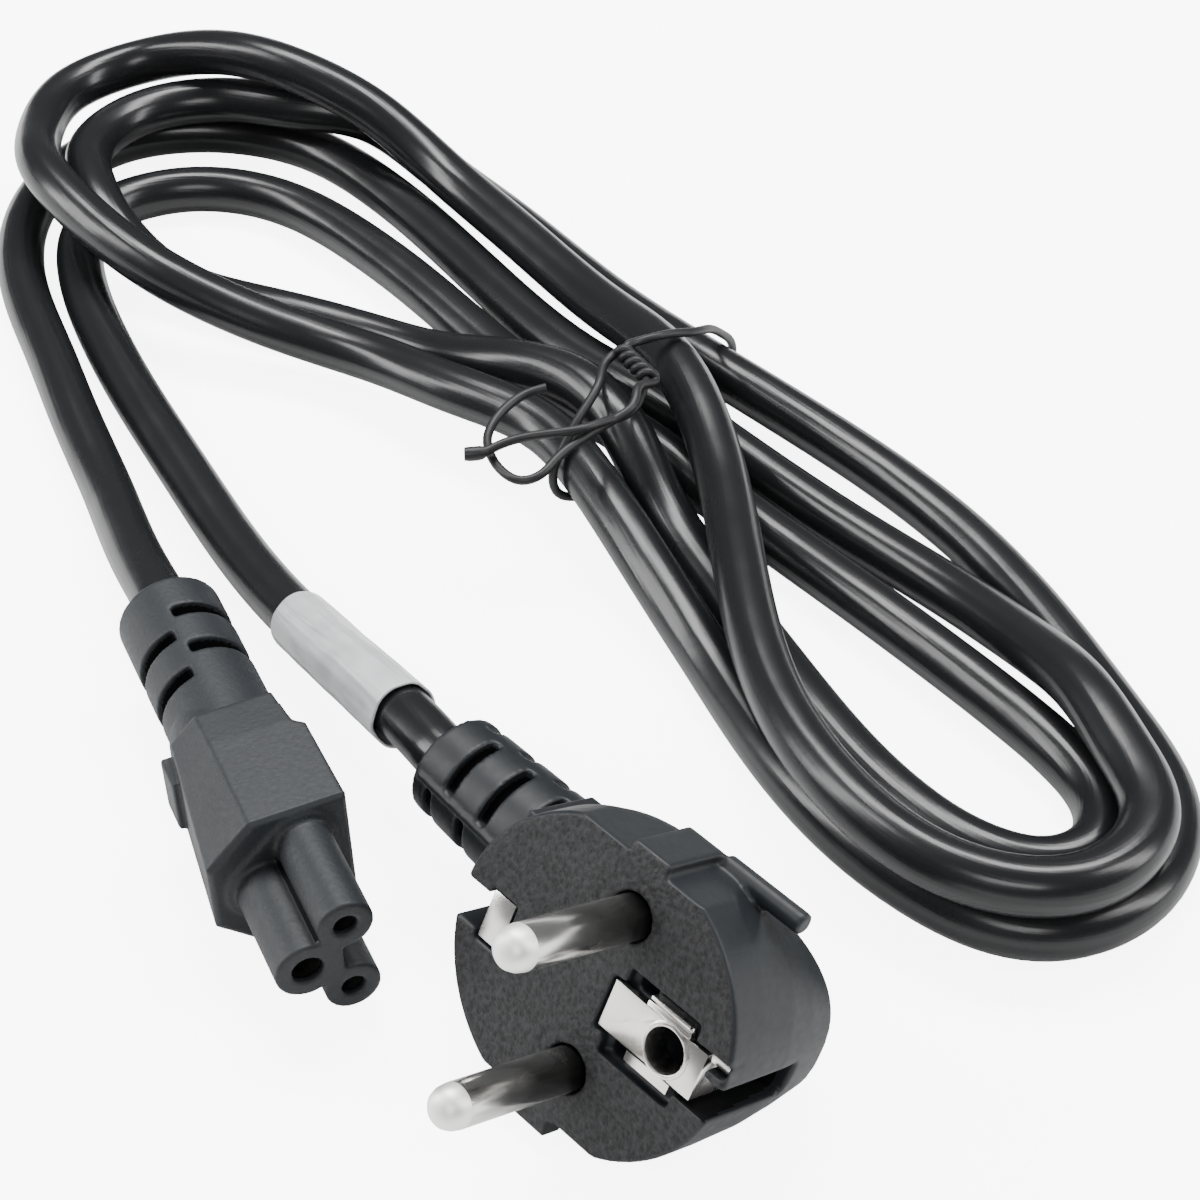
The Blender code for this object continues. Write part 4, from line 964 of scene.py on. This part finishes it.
wire_points = list(reversed(TAIL_ONE)) + list(reversed(knot_strand(0.0))) + TIE_LOOP
wire_points += knot_strand(math.pi) + TAIL_TWO
wire_route = smooth_route([Vector(point) for point in wire_points], 4)
wire_path = [point * MM + TABLE_MIDDLE for point in wire_route]
wire_thickness = [1.0] * (len(wire_path) - len(END_THICKNESS)) + END_THICKNESS
wire_outline = round_outline(WIRE_RADIUS * MM, 16)
tie = drawn_along("wire_tie_coated", wire_path, wire_outline, 0.0, wire_thickness)
upright(tie)
tie_material, tree, shader = new_material("tie_coating", Roughness=0.45, Specular_IOR_Level=0.3)
where = node(tree, "ShaderNodeTexCoord")
scuff = node(tree, "ShaderNodeTexNoise", Scale=700.0, Detail=4.0)
tree.links.new(where.outputs["Object"], scuff.inputs["Vector"])
tint = node(tree, "ShaderNodeMix", data_type="RGBA")
tint.inputs["A"].default_value = (0.008, 0.008, 0.009, 1)
tint.inputs["B"].default_value = (0.016, 0.016, 0.017, 1)
tree.links.new(scuff.outputs["Fac"], tint.inputs["Factor"])
tree.links.new(tint.outputs["Result"], shader.inputs["Base Color"])
bump = node(tree, "ShaderNodeBump", Strength=0.3, Distance=0.0001)
tree.links.new(scuff.outputs["Fac"], bump.inputs["Height"])
tree.links.new(bump.outputs["Normal"], shader.inputs["Normal"])
tie.data.materials.clear()
tie.data.materials.append(tie_material)
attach(tie, "root")
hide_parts("wire_tie")


# Floor and lights
# The lead lies on a plain pale sweep under soft boxes, as for a catalogue picture.
# The sweep glows a little where the camera sees it, so that it shows near white.
SWEEP_SIZE = 3.0
SWEEP_GLOW = 6.5
bm = bmesh.new()
bmesh.ops.create_grid(bm, x_segments=1, y_segments=1, size=SWEEP_SIZE)
floor_mesh = bpy.data.meshes.new("floor")
bm.to_mesh(floor_mesh)
bm.free()
floor = bpy.data.objects.new("floor", floor_mesh)
bpy.context.scene.collection.objects.link(floor)
floor_material, tree, shader = new_material("pale_sweep", Base_Color=(0.86, 0.86, 0.86, 1), Roughness=0.7)
glow = node(tree, "ShaderNodeLightPath")
lift = node(tree, "ShaderNodeMath", operation="MULTIPLY")
lift.inputs[1].default_value = SWEEP_GLOW
tree.links.new(glow.outputs["Is Camera Ray"], lift.inputs[0])
shader.inputs["Emission Color"].default_value = (1, 1, 1, 1)
tree.links.new(lift.outputs[0], shader.inputs["Emission Strength"])
floor.data.materials.append(floor_material)

world = bpy.data.worlds.new("studio")
world.use_nodes = True
world.node_tree.nodes["Background"].inputs["Color"].default_value = (0.9, 0.92, 0.95, 1)
world.node_tree.nodes["Background"].inputs["Strength"].default_value = 0.16
bpy.context.scene.world = world


def soft_box(name, at, aim, width, height, power):
    """An evenly lit rectangle in metres and watts that faces its aim."""
    data = bpy.data.lights.new(name, "AREA")
    data.shape = "RECTANGLE"
    data.size = width
    data.size_y = height
    data.energy = power
    made = bpy.data.objects.new(name, data)
    made.location = at
    made.rotation_euler = (Vector(aim) - Vector(at)).to_track_quat("-Z", "Y").to_euler()
    bpy.context.scene.collection.objects.link(made)


soft_box("over_box", (0.05, 0.4, 0.8), (0.0, 0.05, 0), 0.8, 0.25, 16)
soft_box("left_box", (-0.75, 0.1, 0.45), (0, 0, 0), 0.2, 0.8, 9)
soft_box("right_box", (0.8, -0.1, 0.5), (0, 0, 0), 0.2, 0.8, 7)
soft_box("front_box", (-0.1, -0.7, 0.6), (0, 0, 0), 0.5, 0.3, 4)
